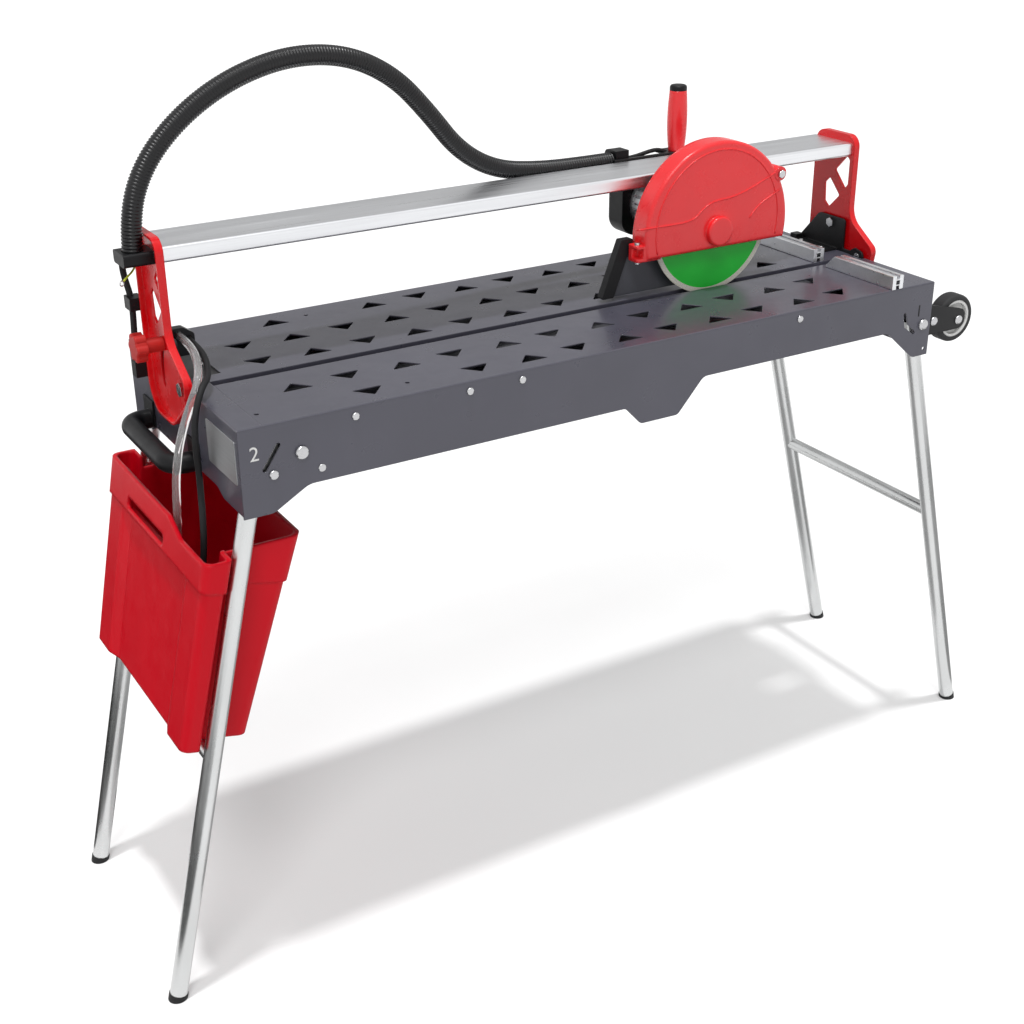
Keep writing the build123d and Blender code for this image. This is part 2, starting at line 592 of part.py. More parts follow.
RIM = 28.0
for side, name in ((-1, "front"), (1, "rear")):
    mid = side * (WHEEL_Y[0] + WHEEL_Y[1]) / 2
    half = (WHEEL_Y[1] - WHEEL_Y[0]) / 2
    with BuildPart() as tyre:
        with BuildSketch(front_plane(mid + half)):
            with Locations((at(WHEEL_X), WHEEL_Z)):
                Circle(WHEEL_R)
                Circle(RIM, mode=Mode.SUBTRACT)
        extrude(amount=2 * half)
        treads = tyre.edges().filter_by(GeomType.CIRCLE).filter_by(lambda edge: edge.radius > RIM + 1)
        fillet(treads, 5)
    save(tyre, name + "_tyre")
    with BuildPart() as hub:
        with BuildSketch(front_plane(mid + half - 1)):
            with Locations((at(WHEEL_X), WHEEL_Z)):
                Circle(RIM)
                Circle(AXLE_R + RUN_FIT, mode=Mode.SUBTRACT)
        extrude(amount=2 * half - 2)
        for face_y, reach in ((mid + half - 1, 6), (mid - half + 7, 6)):
            with BuildSketch(front_plane(face_y)):
                with Locations((at(WHEEL_X), WHEEL_Z)):
                    Circle(RIM - 4)
                    Circle(9, mode=Mode.SUBTRACT)
            extrude(amount=reach, mode=Mode.SUBTRACT)
    save(hub, name + "_hub")

# Legs
LEFT_DIR = (sin(radians(LEFT_SPLAY)), 0, cos(radians(LEFT_SPLAY)))
RIGHT_DIR = (-sin(radians(RIGHT_SPLAY)), 0, cos(radians(RIGHT_SPLAY)))
LEFT_FOOT_X = -(FOOT_EDGE - FOOT_R / cos(radians(LEFT_SPLAY)))
RIGHT_FOOT_X = FOOT_EDGE - FOOT_R / cos(radians(RIGHT_SPLAY))
PLUG_IN = 12.0


def on_leg(foot_x, direction, z, y):
    reach = z / direction[2]
    return (foot_x + direction[0] * reach, y, z)


def leg_tube(foot_x, direction, y, top_z):
    low = on_leg(foot_x, direction, FOOT_LENGTH - 4, y)
    high = on_leg(foot_x, direction, top_z, y)
    run = Vector(*high) - Vector(*low)
    with BuildPart() as tube:
        with BuildSketch(Plane(origin=low, z_dir=run)):
            Circle(TUBE_R)
            Circle(TUBE_BORE, mode=Mode.SUBTRACT)
        extrude(amount=run.length)
    return tube.part


LEFT_TOP_Z = 736.0
TAB_POINTS = [(83, 743, 7), (90, 722, 7), (75, 712, 6), (28, 668, 4), (17, 671, 4), (30, 741, 4)]
END_R = 12.8

for side, name in ((-1, "front"), (1, "rear")):
    y = side * LEG_Y
    y_high = max(side * TAB_Y[0], side * TAB_Y[1])
    with BuildPart() as left_leg:
        add(leg_tube(LEFT_FOOT_X, LEFT_DIR, y, LEFT_TOP_Z))
        tab = [(TABLE_LEFT + px, pz, r) for px, pz, r in TAB_POINTS]
        add(slab(front_plane(y_high), tab, TAB_Y[1] - TAB_Y[0]))
        low = on_leg(LEFT_FOOT_X, LEFT_DIR, FOOT_LENGTH, y)
        high = on_leg(LEFT_FOOT_X, LEFT_DIR, LEFT_TOP_Z + 6, y)
        add(rod(low, high, TUBE_BORE), mode=Mode.SUBTRACT)
        x, z = LEFT_PIVOT
        pivot = rod((at(x), y - 30, z), (at(x), y + 30, z), PIVOT_SHANK + RUN_FIT)
        add(pivot, mode=Mode.SUBTRACT)
    save(left_leg, "left_leg_" + name)
    x, z = RIGHT_PIVOT
    with BuildPart() as shoulder:
        add(block(at(x) - 30, at(x) + 30, y - 30, y + 30, z, z + 40))
        add(rod((at(x), y - 31, z), (at(x), y + 31, z), END_R), mode=Mode.SUBTRACT)
    with BuildPart() as right_leg:
        add(leg_tube(RIGHT_FOOT_X, RIGHT_DIR, y, z + END_R + 3))
        add(shoulder.part, mode=Mode.SUBTRACT)
        pivot = rod((at(x), y - 30, z), (at(x), y + 30, z), PIVOT_SHANK + RUN_FIT)
        add(pivot, mode=Mode.SUBTRACT)
    save(right_leg, "right_leg_" + name)

for name, foot_x, direction, z in (
    ("left_cross_tube", LEFT_FOOT_X, LEFT_DIR, LEFT_CROSS_Z),
    ("right_cross_tube", RIGHT_FOOT_X, RIGHT_DIR, RIGHT_CROSS_Z),
):
    with BuildPart() as cross:
        add(rod(on_leg(foot_x, direction, z, -LEG_Y), on_leg(foot_x, direction, z, LEG_Y), CROSS_R))
        bore = rod(on_leg(foot_x, direction, z, -LEG_Y), on_leg(foot_x, direction, z, LEG_Y), CROSS_R - 1.5)
        add(bore, mode=Mode.SUBTRACT)
        for y in (-LEG_Y, LEG_Y):
            leg = rod(on_leg(foot_x, direction, z - 40, y), on_leg(foot_x, direction, z + 40, y), TUBE_R)
            add(leg, mode=Mode.SUBTRACT)
    save(cross, name)

for name, foot_x, direction in (
    ("left_feet", LEFT_FOOT_X, LEFT_DIR),
    ("right_feet", RIGHT_FOOT_X, RIGHT_DIR),
):
    with BuildPart() as feet:
        for y in (-LEG_Y, LEG_Y):
            add(rod(on_leg(foot_x, direction, -12, y), on_leg(foot_x, direction, FOOT_LENGTH - 4, y), FOOT_R))
            plug_top = on_leg(foot_x, direction, FOOT_LENGTH - 4 + PLUG_IN, y)
            add(rod(on_leg(foot_x, direction, 4, y), plug_top, TUBE_BORE))
        add(block(-800, 800, -300, 300, -40, 0), mode=Mode.SUBTRACT)
    save(feet, name)

# Supports: pans with a flange turned outward all round
SUPPORT_POINTS = [
    (0, 945, 18), (85, 945, 18), (85, 732, 46), (58, 712.5, 30), (2, 712.5, 34), (-50, 752, 16),
    (-56, 785, 13), (0, 822, 34),
]
FLANGE = 3.0
SLOT_R = 5.0
STUD_REACH = hypot(STUD_YZ[0] - TILT_Y, STUD_YZ[1] - TILT_Z)
STUD_ANGLE = degrees(atan2(STUD_YZ[1] - TILT_Z, STUD_YZ[0] - TILT_Y))
UPPER_WINDOW = [(38, 889, 3), (14, 914, 4), (8, 908, 3), (8, 872, 3), (14, 864, 3)]
LOWER_WINDOW = [(48, 876, 3), (24, 852, 3), (46, 830, 3), (56, 838, 3), (58, 866, 3)]
BEAM_BOLT_Y = (12.0, 76.0)
BEAM_BOLT_Z = (BEAM_LOW + BEAM_TOP) / 2
BEAM_BOLT_R = 3.0


def support(side):
    start = at(-SUPPORT_IN - SUPPORT_DEPTH) if side < 0 else at(SUPPORT_IN)
    outline = rounded(SUPPORT_POINTS)
    with BuildPart() as pan:
        with BuildSketch(side_plane(start)):
            add(outline)
        extrude(amount=SUPPORT_DEPTH)
        hollow_from = start - 1 if side < 0 else start + SUPPORT_PLATE
        with BuildSketch(side_plane(hollow_from)):
            add(outline)
            offset(amount=-FLANGE, mode=Mode.REPLACE)
        extrude(amount=SUPPORT_DEPTH - SUPPORT_PLATE + 1, mode=Mode.SUBTRACT)
        for window in (UPPER_WINDOW, LOWER_WINDOW):
            add(slab(side_plane(start - 1), window, SUPPORT_DEPTH + 2), mode=Mode.SUBTRACT)
        with BuildSketch(Plane(origin=(start - 1, TILT_Y, TILT_Z), x_dir=(0, 1, 0), z_dir=(1, 0, 0))):
            with BuildLine():
                outer = CenterArc((0, 0), STUD_REACH + SLOT_R, STUD_ANGLE - TILT_RANGE, TILT_RANGE)
                inner = CenterArc((0, 0), STUD_REACH - SLOT_R, STUD_ANGLE - TILT_RANGE, TILT_RANGE)
                Line(outer @ 0, inner @ 0)
                Line(outer @ 1, inner @ 1)
            make_face()
            with PolarLocations(STUD_REACH, 2, STUD_ANGLE - TILT_RANGE, TILT_RANGE, endpoint=True):
                Circle(SLOT_R)
        extrude(amount=SUPPORT_DEPTH + 2, mode=Mode.SUBTRACT)
        holes = [(TILT_Y, TILT_Z, PIVOT_BOLT_R + RUN_FIT)]
        holes += [(y, BEAM_BOLT_Z, BEAM_BOLT_R + SCREW_FIT) for y in BEAM_BOLT_Y]
        for y, z, radius in holes:
            hole = rod((start - 1, y, z), (start + SUPPORT_DEPTH + 1, y, z), radius)
            add(hole, mode=Mode.SUBTRACT)
    return pan.part


with BuildPart() as left_support:
    add(support(-1))
save(left_support, "left_support")

with BuildPart() as right_support:
    add(support(1))
save(right_support, "right_support")

with BuildPart() as beam:
    with BuildSketch(side_plane(at(-SUPPORT_IN))):
        with Locations(((BEAM_FRONT + BEAM_REAR) / 2, BEAM_BOLT_Z)):
            RectangleRounded(BEAM_REAR - BEAM_FRONT, BEAM_TOP - BEAM_LOW, 3.5)
        with Locations(((TRACK[0] + TRACK[1]) / 2, (TRACK[2] + TRACK[3]) / 2)):
            Rectangle(TRACK[1] - TRACK[0], TRACK[3] - TRACK[2], mode=Mode.SUBTRACT)
        with Locations(((TRACK_SLOT[0] + TRACK_SLOT[1]) / 2, BEAM_LOW)):
            Rectangle(TRACK_SLOT[1] - TRACK_SLOT[0], 10, mode=Mode.SUBTRACT)
        with Locations(*[(y, BEAM_BOLT_Z) for y in BEAM_BOLT_Y]):
            Circle(BEAM_BOLT_R + SCREW_FIT, mode=Mode.SUBTRACT)
    extrude(amount=2 * SUPPORT_IN)
save(beam, "beam")

with BuildPart() as beam_bolts:
    for side in (-1, 1):
        for y in BEAM_BOLT_Y:
            face = (at(side * SUPPORT_FACE), y, BEAM_BOLT_Z)
            add(rod((at(side * (SUPPORT_IN - 18)), y, BEAM_BOLT_Z), face, BEAM_BOLT_R))
            add(rod(face, (at(side * (SUPPORT_FACE + 4)), y, BEAM_BOLT_Z), 5.4, 6))
save(beam_bolts, "beam_bolts")

# Clamp for the conduit on the left support, and the small anchor on its rear edge
CLAMP_XY = (-25.0 - TABLE_END, 40.0)
CLAMP_Z = (910.0, 926.0)
ANCHOR_Z = 846.0
SUPPORT_CABLE = [
    (at(x - TABLE_END), y, z) for x, y, z in (
        (-25, 58, 917), (-25, 88, 908), (-21, 104, 882), (-15, 100, 850), (-17, 97, 818), (-19, 97, 788),
        (-15, 92, 762),
    )
]
GLAND_Z = (752.0, 772.0)

with BuildPart() as cable_clamps:
    x, y = CLAMP_XY
    add(block(at(x - 17), at(-SUPPORT_FACE), y - 18, y + 22, *CLAMP_Z))
    fillet(cable_clamps.edges().filter_by(Axis.X), 4)
    add(rod((at(x), y, CLAMP_Z[0] + 2), (at(x), y, CLAMP_Z[1] + 4), CONDUIT_R + 0.3), mode=Mode.SUBTRACT)
    add(block(at(-SUPPORT_IN - 22), at(-SUPPORT_IN - 5), 85, 107, ANCHOR_Z - 8, ANCHOR_Z + 8))
    add(block(at(-SUPPORT_IN - 24), at(-SUPPORT_IN - 4), 85, 101, *GLAND_Z))
    add(cord(SUPPORT_CABLE, CABLE_R + 0.2), mode=Mode.SUBTRACT)
save(cable_clamps, "cable_clamps")

# Carriage
SHOE_X = (190.0, 270.0)
PLATE_X = (165.0, 335.0)
PLATE_Z = (906.5, 912.5)
ARM_IN = 93.0
GRIP_X = 280.0
GRIP_Y = 102.0
GRIP_Z = (936.0, 1030.0)
SHOE_BOLT_R = 4.0

with BuildPart() as carriage_frame:
    add(block(at(PLATE_X[0]), at(PLATE_X[1]), -10, ARM_IN + 5, *PLATE_Z))
    add(block(at(PLATE_X[0]), at(PLATE_X[1]), -10, 2, PLATE_Z[0], 932))
    fillet(carriage_frame.edges().filter_by(Axis.Y).group_by(Axis.Z)[-1], 8)
    add(block(at(166), at(304), ARM_IN, ARM_IN + 5, PLATE_Z[0], 936))
    add(block(at(258), at(302), ARM_IN, 124, 932, 936))
    add(block(at(HEAD_X - 30), at(HEAD_X + 30), 22, 92, AXIS_Z + 20, PLATE_Z[0]))
    motor_seat = rod((at(HEAD_X), 0, AXIS_Z), (at(HEAD_X), 120, AXIS_Z), MOTOR_R)
    add(motor_seat, mode=Mode.SUBTRACT)
    for x in SHOE_X:
        y = (TRACK_SLOT[0] + TRACK_SLOT[1]) / 2
        hole = rod((at(x), y, PLATE_Z[0] - 1), (at(x), y, PLATE_Z[1] + 1), SHOE_BOLT_R + SCREW_FIT)
        add(hole, mode=Mode.SUBTRACT)
    add(rod((at(GRIP_X), GRIP_Y, 930), (at(GRIP_X), GRIP_Y, 940), 4 + SCREW_FIT), mode=Mode.SUBTRACT)
save(carriage_frame, "carriage_frame")

with BuildPart() as glide_shoes:
    for x in SHOE_X:
        add(block(at(x - 28), at(x + 28), TRACK[0] + GLIDE_FIT, TRACK[1] - GLIDE_FIT,
                  TRACK[2] + GLIDE_FIT, TRACK[3] - GLIDE_FIT))
        add(block(at(x - 28), at(x + 28), TRACK_SLOT[0] + GLIDE_FIT, TRACK_SLOT[1] - GLIDE_FIT,
                  PLATE_Z[1], TRACK[2] + GLIDE_FIT))
        y = (TRACK_SLOT[0] + TRACK_SLOT[1]) / 2
        add(rod((at(x), y, PLATE_Z[0]), (at(x), y, PLATE_Z[1]), SHOE_BOLT_R))
save(glide_shoes, "glide_shoes")

GRIP_NECK = 11.5
GRIP_TOP = 12.5
CAP_HEIGHT = 8.0

with BuildPart() as grip:
    cap_low = GRIP_Z[1] - CAP_HEIGHT
    with BuildSketch(Plane(origin=(at(GRIP_X), GRIP_Y, 0), x_dir=(1, 0, 0), z_dir=(0, -1, 0))):
        with BuildLine():
            Polyline((GRIP_TOP, cap_low), (0, cap_low), (0, GRIP_Z[0]), (GRIP_NECK, GRIP_Z[0]))
            belly = [(14.5, GRIP_Z[0] + 38), (14.2, GRIP_Z[0] + 62)]
            Spline((GRIP_NECK, GRIP_Z[0]), *belly, (GRIP_TOP, cap_low))
        make_face()
    revolve(axis=Axis((at(GRIP_X), GRIP_Y, 0), (0, 0, 1)))
    add(rod((at(GRIP_X), GRIP_Y, GRIP_Z[0] - 8), (at(GRIP_X), GRIP_Y, GRIP_Z[0] + 1), 4))
save(grip, "grip")

with BuildPart() as grip_cap:
    add(rod((at(GRIP_X), GRIP_Y, cap_low), (at(GRIP_X), GRIP_Y, GRIP_Z[1]), GRIP_TOP))
    fillet(grip_cap.edges().filter_by(GeomType.CIRCLE).sort_by(Axis.Z)[-1], 4)
save(grip_cap, "grip_cap")

CLIP_X = (171.0, 193.0)
CLIP_YZ = (112.0, 931.5)
CLIP_HALF = 15.5

with BuildPart() as conduit_clip:
    y, z = CLIP_YZ
    add(block(at(CLIP_X[0]), at(CLIP_X[1]), ARM_IN + 5, y + CLIP_HALF, z - CLIP_HALF, z + CLIP_HALF))
    fillet(conduit_clip.edges().filter_by(Axis.X).group_by(Axis.Y)[-1], 8)
    bore = rod((at(CLIP_X[0]) - 1, y, z), (at(CLIP_X[1]) - 5, y, z), CONDUIT_R + 0.3)
    add(bore, mode=Mode.SUBTRACT)
    add(rod((at(CLIP_X[1]) - 7, y, z), (at(CLIP_X[1]) + 1, y, z), CABLE_R + 0.2), mode=Mode.SUBTRACT)
save(conduit_clip, "conduit_clip")

# Motor
FINS = 24
FIN_WIDTH = 6.0
FLANGE_R = 40.0


def on_axis(y):
    return (at(HEAD_X), y, AXIS_Z)


BEARING_R = 16.0

with BuildPart() as motor_flange:
    add(rod(on_axis(GUARD_BACK + 3), on_axis(MOTOR_FRONT), FLANGE_R))
    fillet(motor_flange.edges().filter_by(GeomType.CIRCLE).sort_by(Axis.Y)[-1], 6)
    add(rod(on_axis(-6), on_axis(MOTOR_FRONT + 1), BEARING_R), mode=Mode.SUBTRACT)
    add(rod(on_axis(GUARD_BACK), on_axis(0), SPINDLE_R + 2), mode=Mode.SUBTRACT)
save(motor_flange, "motor_flange")

with BuildPart() as motor_housing:
    fin_reach = MOTOR_R - 0.2 - MOTOR_CORE
    with BuildSketch(front_plane(MOTOR_REAR + 2)):
        with Locations((at(HEAD_X), AXIS_Z)):
            Circle(MOTOR_CORE)
            with PolarLocations(MOTOR_CORE, FINS):
                Rectangle(2 * fin_reach, FIN_WIDTH)
    extrude(amount=MOTOR_REAR + 2 - MOTOR_FRONT)
    add(rod(on_axis(MOTOR_REAR - 6), on_axis(MOTOR_REAR + 2), MOTOR_R))
    add(rod(on_axis(MOTOR_FRONT - 1), on_axis(MOTOR_REAR + 3), MOTOR_CORE - 4), mode=Mode.SUBTRACT)
save(motor_housing, "motor_housing")

CAP_Y = (114.0, 154.0)
SWITCH_XZ = (18.0, 16.0)
SWITCH_PIVOT_Y = 150.0
SWITCH_PIN_R = 1.5


def switch_pin(radius):
    """Pin that the rocker turns on, through both sides of its well."""
    middle = HEAD_X + SWITCH_XZ[0]
    height = AXIS_Z + SWITCH_XZ[1]
    return rod((at(middle - 13), SWITCH_PIVOT_Y, height), (at(middle + 13), SWITCH_PIVOT_Y, height), radius)


with BuildPart() as motor_cap:
    with BuildSketch(front_plane(CAP_Y[1])):
        with Locations((at(HEAD_X), AXIS_Z)):
            RectangleRounded(104, 92, 24)
    extrude(amount=CAP_Y[1] - CAP_Y[0])
    fillet(motor_cap.faces().sort_by(Axis.Y)[-1].edges(), 8)
    add(rod(on_axis(CAP_Y[0] - 1), on_axis(CAP_Y[0] + 12), BEARING_R), mode=Mode.SUBTRACT)
    add(rod(on_axis(CAP_Y[0]), on_axis(CAP_Y[0] + 16), SPINDLE_R + 2), mode=Mode.SUBTRACT)
    well = block(at(SWITCH_XZ[0] + HEAD_X - 11), at(SWITCH_XZ[0] + HEAD_X + 11), 138, CAP_Y[1] + 1,
                 AXIS_Z + SWITCH_XZ[1] - 14, AXIS_Z + SWITCH_XZ[1] + 14)
    add(well, mode=Mode.SUBTRACT)
    add(switch_pin(SWITCH_PIN_R + RUN_FIT), mode=Mode.SUBTRACT)
save(motor_cap, "motor_cap")

with BuildPart() as power_switch:
    wedge = [(147, -12.5, 1), (156.5, -12.5, 1), (153.8, 0, 0), (154.2, 12.5, 1), (147, 12.5, 1)]
    face_points = [(y, AXIS_Z + SWITCH_XZ[1] + z, r) for y, z, r in wedge]
    add(slab(side_plane(at(HEAD_X + SWITCH_XZ[0] - 10)), face_points, 20))
    add(switch_pin(SWITCH_PIN_R))
save(power_switch, "power_switch")

with BuildPart() as bearings:
    for y0, y1 in ((-6, 4), (CAP_Y[0] + 1, CAP_Y[0] + 11)):
        add(rod(on_axis(y0), on_axis(y1), BEARING_R))
        add(rod(on_axis(y0 - 1), on_axis(y1 + 1), SPINDLE_R + RUN_FIT), mode=Mode.SUBTRACT)
save(bearings, "bearings")

with BuildPart() as spindle:
    add(rod(on_axis(-41), on_axis(CAP_Y[0] + 13), SPINDLE_R))
    add(rod(on_axis(20), on_axis(98), 24))
save(spindle, "spindle")

# Blade and its clamp
BLADE_BACK = SLOT_Y + BLADE_THICK / 2
BLADE_FRONT = SLOT_Y - BLADE_THICK / 2

with BuildPart() as blade_core:
    with BuildSketch(front_plane(BLADE_BACK - 0.2)):
        with Locations((at(HEAD_X), AXIS_Z)):
            Circle(RIM_R)
            Circle(SPINDLE_R, mode=Mode.SUBTRACT)
    extrude(amount=BLADE_THICK - 0.4)
save(blade_core, "blade_core")

with BuildPart() as blade_rim:
    with BuildSketch(front_plane(BLADE_BACK)):
        with Locations((at(HEAD_X), AXIS_Z)):
            Circle(BLADE_R)
            Circle(RIM_R, mode=Mode.SUBTRACT)
    extrude(amount=BLADE_THICK)
save(blade_rim, "blade_rim")

with BuildPart() as blade_clamp:
    add(rod(on_axis(BLADE_BACK - 0.2), on_axis(-22), 25))
    add(rod(on_axis(BLADE_FRONT + 0.2), on_axis(-36), 25))
    add(rod(on_axis(-36), on_axis(-42), 10, 6))
    add(rod(on_axis(-50), on_axis(0), SPINDLE_R), mode=Mode.SUBTRACT)
save(blade_clamp, "blade_clamp")

# Guard
EAR_ANGLE = 32.0
EAR_R = 10.0
EAR_HEAD = 4.0


def on_guard(y):
    return (at(HEAD_X), y, GUARD_Z)


def guard_disc(y_front, y_back, radius, low):
    """Disc round the blade with its lower part cut level."""
    with BuildPart() as disc:
        add(rod(on_guard(y_back), on_guard(y_front), radius))
        cut = block(at(HEAD_X) - 200, at(HEAD_X) + 200, y_front - 1, y_back + 1, GUARD_Z - 200, low)
        add(cut, mode=Mode.SUBTRACT)
    return disc.part


EAR_REACH = GUARD_R + 2
EAR_FRONT = GUARD_FRONT - 1
EAR = (HEAD_X + EAR_REACH * cos(radians(EAR_ANGLE)), GUARD_Z + EAR_REACH * sin(radians(EAR_ANGLE)))

with BuildPart() as guard_cover:
    add(guard_disc(GUARD_FRONT, GUARD_BACK, GUARD_R, GUARD_LOW))
    fillet(guard_cover.faces().sort_by(Axis.Y)[0].edges(), 5)
    add(rod((at(EAR[0]), EAR_FRONT, EAR[1]), (at(EAR[0]), GUARD_BACK, EAR[1]), EAR_R))
    add(block(at(111), at(150), -44, GUARD_BACK - 3, 827, 849))
    fillet(guard_cover.edges().filter_by(Axis.Z).sort_by(Axis.X)[0:2], 4)
    add(block(at(110), at(121), -45, -30, 832, 845), mode=Mode.SUBTRACT)
    add(rod(on_guard(GUARD_FRONT - 8), on_guard(GUARD_FRONT + 4), 21))
    fillet(guard_cover.faces().sort_by(Axis.Y)[0].edges(), 3)
    inner = guard_disc(GUARD_FRONT + GUARD_WALL, GUARD_BACK + 1, GUARD_R - GUARD_WALL, GUARD_LOW - 1)
    add(inner, mode=Mode.SUBTRACT)
    add(rod(on_guard(GUARD_FRONT - 5), on_guard(GUARD_FRONT + 5), 17), mode=Mode.SUBTRACT)
save(guard_cover, "guard_cover")

with BuildPart() as guard_back:
    add(guard_disc(GUARD_BACK, GUARD_BACK + 3, GUARD_R, GUARD_LOW))
    add(rod((at(EAR[0]), GUARD_BACK, EAR[1]), (at(EAR[0]), GUARD_BACK + 3, EAR[1]), EAR_R))
    add(rod(on_axis(GUARD_BACK - 1), on_axis(GUARD_BACK + 4), 27), mode=Mode.SUBTRACT)
save(guard_back, "guard_back")

HINGE_PIN = (117.0, -34.0)

with BuildPart() as guard_screws:
    add(rod((at(EAR[0]), EAR_FRONT - EAR_HEAD, EAR[1]), (at(EAR[0]), EAR_FRONT, EAR[1]), 6, 6))
    for z0, z1 in ((823, 827), (849, 853)):
        add(rod((at(HINGE_PIN[0]), HINGE_PIN[1], z0), (at(HINGE_PIN[0]), HINGE_PIN[1], z1), 4))
save(guard_screws, "guard_screws")

PLATE_BACK = GUARD_BACK + 5
SEAL_POINTS = [(101, 855, 2), (121, 855, 2), (90, 775, 2), (70, 775, 2)]

with BuildPart() as splash_plate:
    sheet = [(111, 849, 0), (190, 849, 3), (190, 840, 3), (212, 800, 3), (212, 775, 3), (82, 775, 0)]
    add(slab(front_plane(PLATE_BACK), [(at(x), z, r) for x, z, r in sheet], 2))
    seal_slot = [(at(x), z, 0) for x, z, r in SEAL_POINTS]
    add(slab(front_plane(PLATE_BACK + 1), seal_slot, 4), mode=Mode.SUBTRACT)
save(splash_plate, "splash_plate")

with BuildPart() as splash_seal:
    add(slab(front_plane(-7), [(at(x), z, r) for x, z, r in SEAL_POINTS], 12))
save(splash_seal, "splash_seal")

# Tilt knob
KNOB_X = (-27.0 - TABLE_END, -41.0 - TABLE_END)
KNOB_LOBES = 6

with BuildPart() as tilt_knob:
    add(rod((at(-SUPPORT_FACE - FACE_GAP), *STUD_YZ), (at(KNOB_X[0]), *STUD_YZ), 9))
    with BuildSketch(side_plane(at(KNOB_X[1]))):
        with Locations(STUD_YZ):
            Circle(15)
            with PolarLocations(12.5, KNOB_LOBES):
                Circle(6)
    extrude(amount=KNOB_X[0] - KNOB_X[1])
    fillet(tilt_knob.faces().sort_by(Axis.X)[0].edges(), 2)
    bore = rod((at(-SUPPORT_FACE) + 1, *STUD_YZ), (at(KNOB_X[1] + 6), *STUD_YZ), STUD_R + RUN_FIT)
    add(bore, mode=Mode.SUBTRACT)
save(tilt_knob, "tilt_knob")

# Bucket: leans with the left legs, its narrow part between them
BUCKET_PLANE = Plane(origin=(LEFT_FOOT_X, 0, 0), x_dir=(LEFT_DIR[2], 0, -LEFT_DIR[0]), z_dir=LEFT_DIR)
BUCKET_LOW = 364.0
BUCKET_HIGH = 652.0
COLLAR_LOW = 577.0
COLLAR = 2.5
BUCKET_WALL = 2.5
PANEL = 8.0


def bucket_outline(share, grow, panel):
    """Section at a share of the height, moved outward, with a panel set back in its outer wall."""
    outer = -42.0 - 5.0 * share - grow
    inner = 57.0 + 24.0 * share + grow
    lobe = 168.0 + 7.0 * share + grow
    body = 138.0 + 10.0 * share + grow
    waist = -17.0 + grow
    points = [
        (outer, -lobe, 11), (waist, -lobe, 6), (waist, -body, 4), (inner, -body, 14),
        (inner, body, 14), (waist, body, 4), (waist, lobe, 6), (outer, lobe, 11),
    ]
    if panel:
        points += [
            (outer, lobe - 52, 14), (outer + panel, lobe - 74, 14),
            (outer + panel, 74 - lobe, 14), (outer, 52 - lobe, 14),
        ]
    return points


def bucket_body(low, high, grow, panel):
    with BuildPart() as body:
        for height in (low, high):
            share = (height - BUCKET_LOW) / (BUCKET_HIGH - BUCKET_LOW)
            outline = rounded(bucket_outline(share, grow, panel))
            with BuildSketch(BUCKET_PLANE.offset(height)):
                add(outline)
        loft(ruled=True)
    return body.part


LOBE_X = -13.0 - TABLE_END
RIM_CUT = 152.0
FINGER_SLOT_OUT = 92.0

with BuildPart() as bucket:
    add(bucket_body(BUCKET_LOW, BUCKET_HIGH, 0, PANEL))
    add(bucket_body(COLLAR_LOW, BUCKET_HIGH, COLLAR, 0))
    for low, panel in ((BUCKET_LOW, PANEL), (COLLAR_LOW, 0)):
        add(bucket_body(low + BUCKET_WALL, BUCKET_HIGH + 2, -BUCKET_WALL, panel), mode=Mode.SUBTRACT)
    add(block(at(LOBE_X), at(LOBE_X + 168), -250, 250, 605, 720), mode=Mode.SUBTRACT)
    rim = [(-250, 607, 0), (-92, 607, 20), (-48, 621, 20), (250, 621, 0), (250, 720, 0), (-250, 720, 0)]
    add(slab(side_plane(at(LOBE_X - RIM_CUT)), rim, RIM_CUT), mode=Mode.SUBTRACT)
    finger_slot = [(-40, 578, 6.5), (95, 578, 6.5), (95, 593, 6.5), (-40, 593, 6.5)]
    add(slab(side_plane(at(LOBE_X - FINGER_SLOT_OUT)), finger_slot, 75), mode=Mode.SUBTRACT)
save(bucket, "bucket")

PUMP_U = 10.0
PUMP_Y = 10.0


def in_bucket(u, y, w):
    point = BUCKET_PLANE.from_local_coords(Vector(u, y, w))
    return (point.X, point.Y, point.Z)


PUMP_TOP = BUCKET_LOW + BUCKET_WALL + 48

HOSE_POINTS = [
    (at(HOSE_XZ[0]), HOSE_START, HOSE_XZ[1]), (at(HOSE_XZ[0]), 2, HOSE_XZ[1]), (at(-519), -32, 806),
    (at(-530), -64, 790), (at(-548), -74, 764), (at(-563), -74, 728), (at(-571), -68, 684),
    (at(-571), -56, 636), (at(-567), -38, 590), (at(-568), -22, 546), (at(-576), -12, 514),
    in_bucket(PUMP_U - 12, PUMP_Y - 18, PUMP_TOP + 54), in_bucket(PUMP_U - 12, PUMP_Y - 18, PUMP_TOP + 14),
]
PUMP_CABLE_POINTS = [
    (at(CABLE_XZ[0]), CABLE_START, CABLE_XZ[1]), (at(CABLE_XZ[0]), 8, CABLE_XZ[1]), (at(-506), -28, 800),
    (at(-517), -60, 790), (at(-534), -82, 788), (at(-549), -92, 760), (at(-552), -92, 724),
    (at(-549), -86, 690), (at(-548), -82, 660), (at(-551), -90, 634), (at(-556), -98, 594),
    (at(-561), -94, 552), (at(-566), -80, 512), (at(-568), -60, 474), (at(-564), -42, 436),
    in_bucket(PUMP_U + 14, PUMP_Y - 38, PUMP_TOP - 4),
]
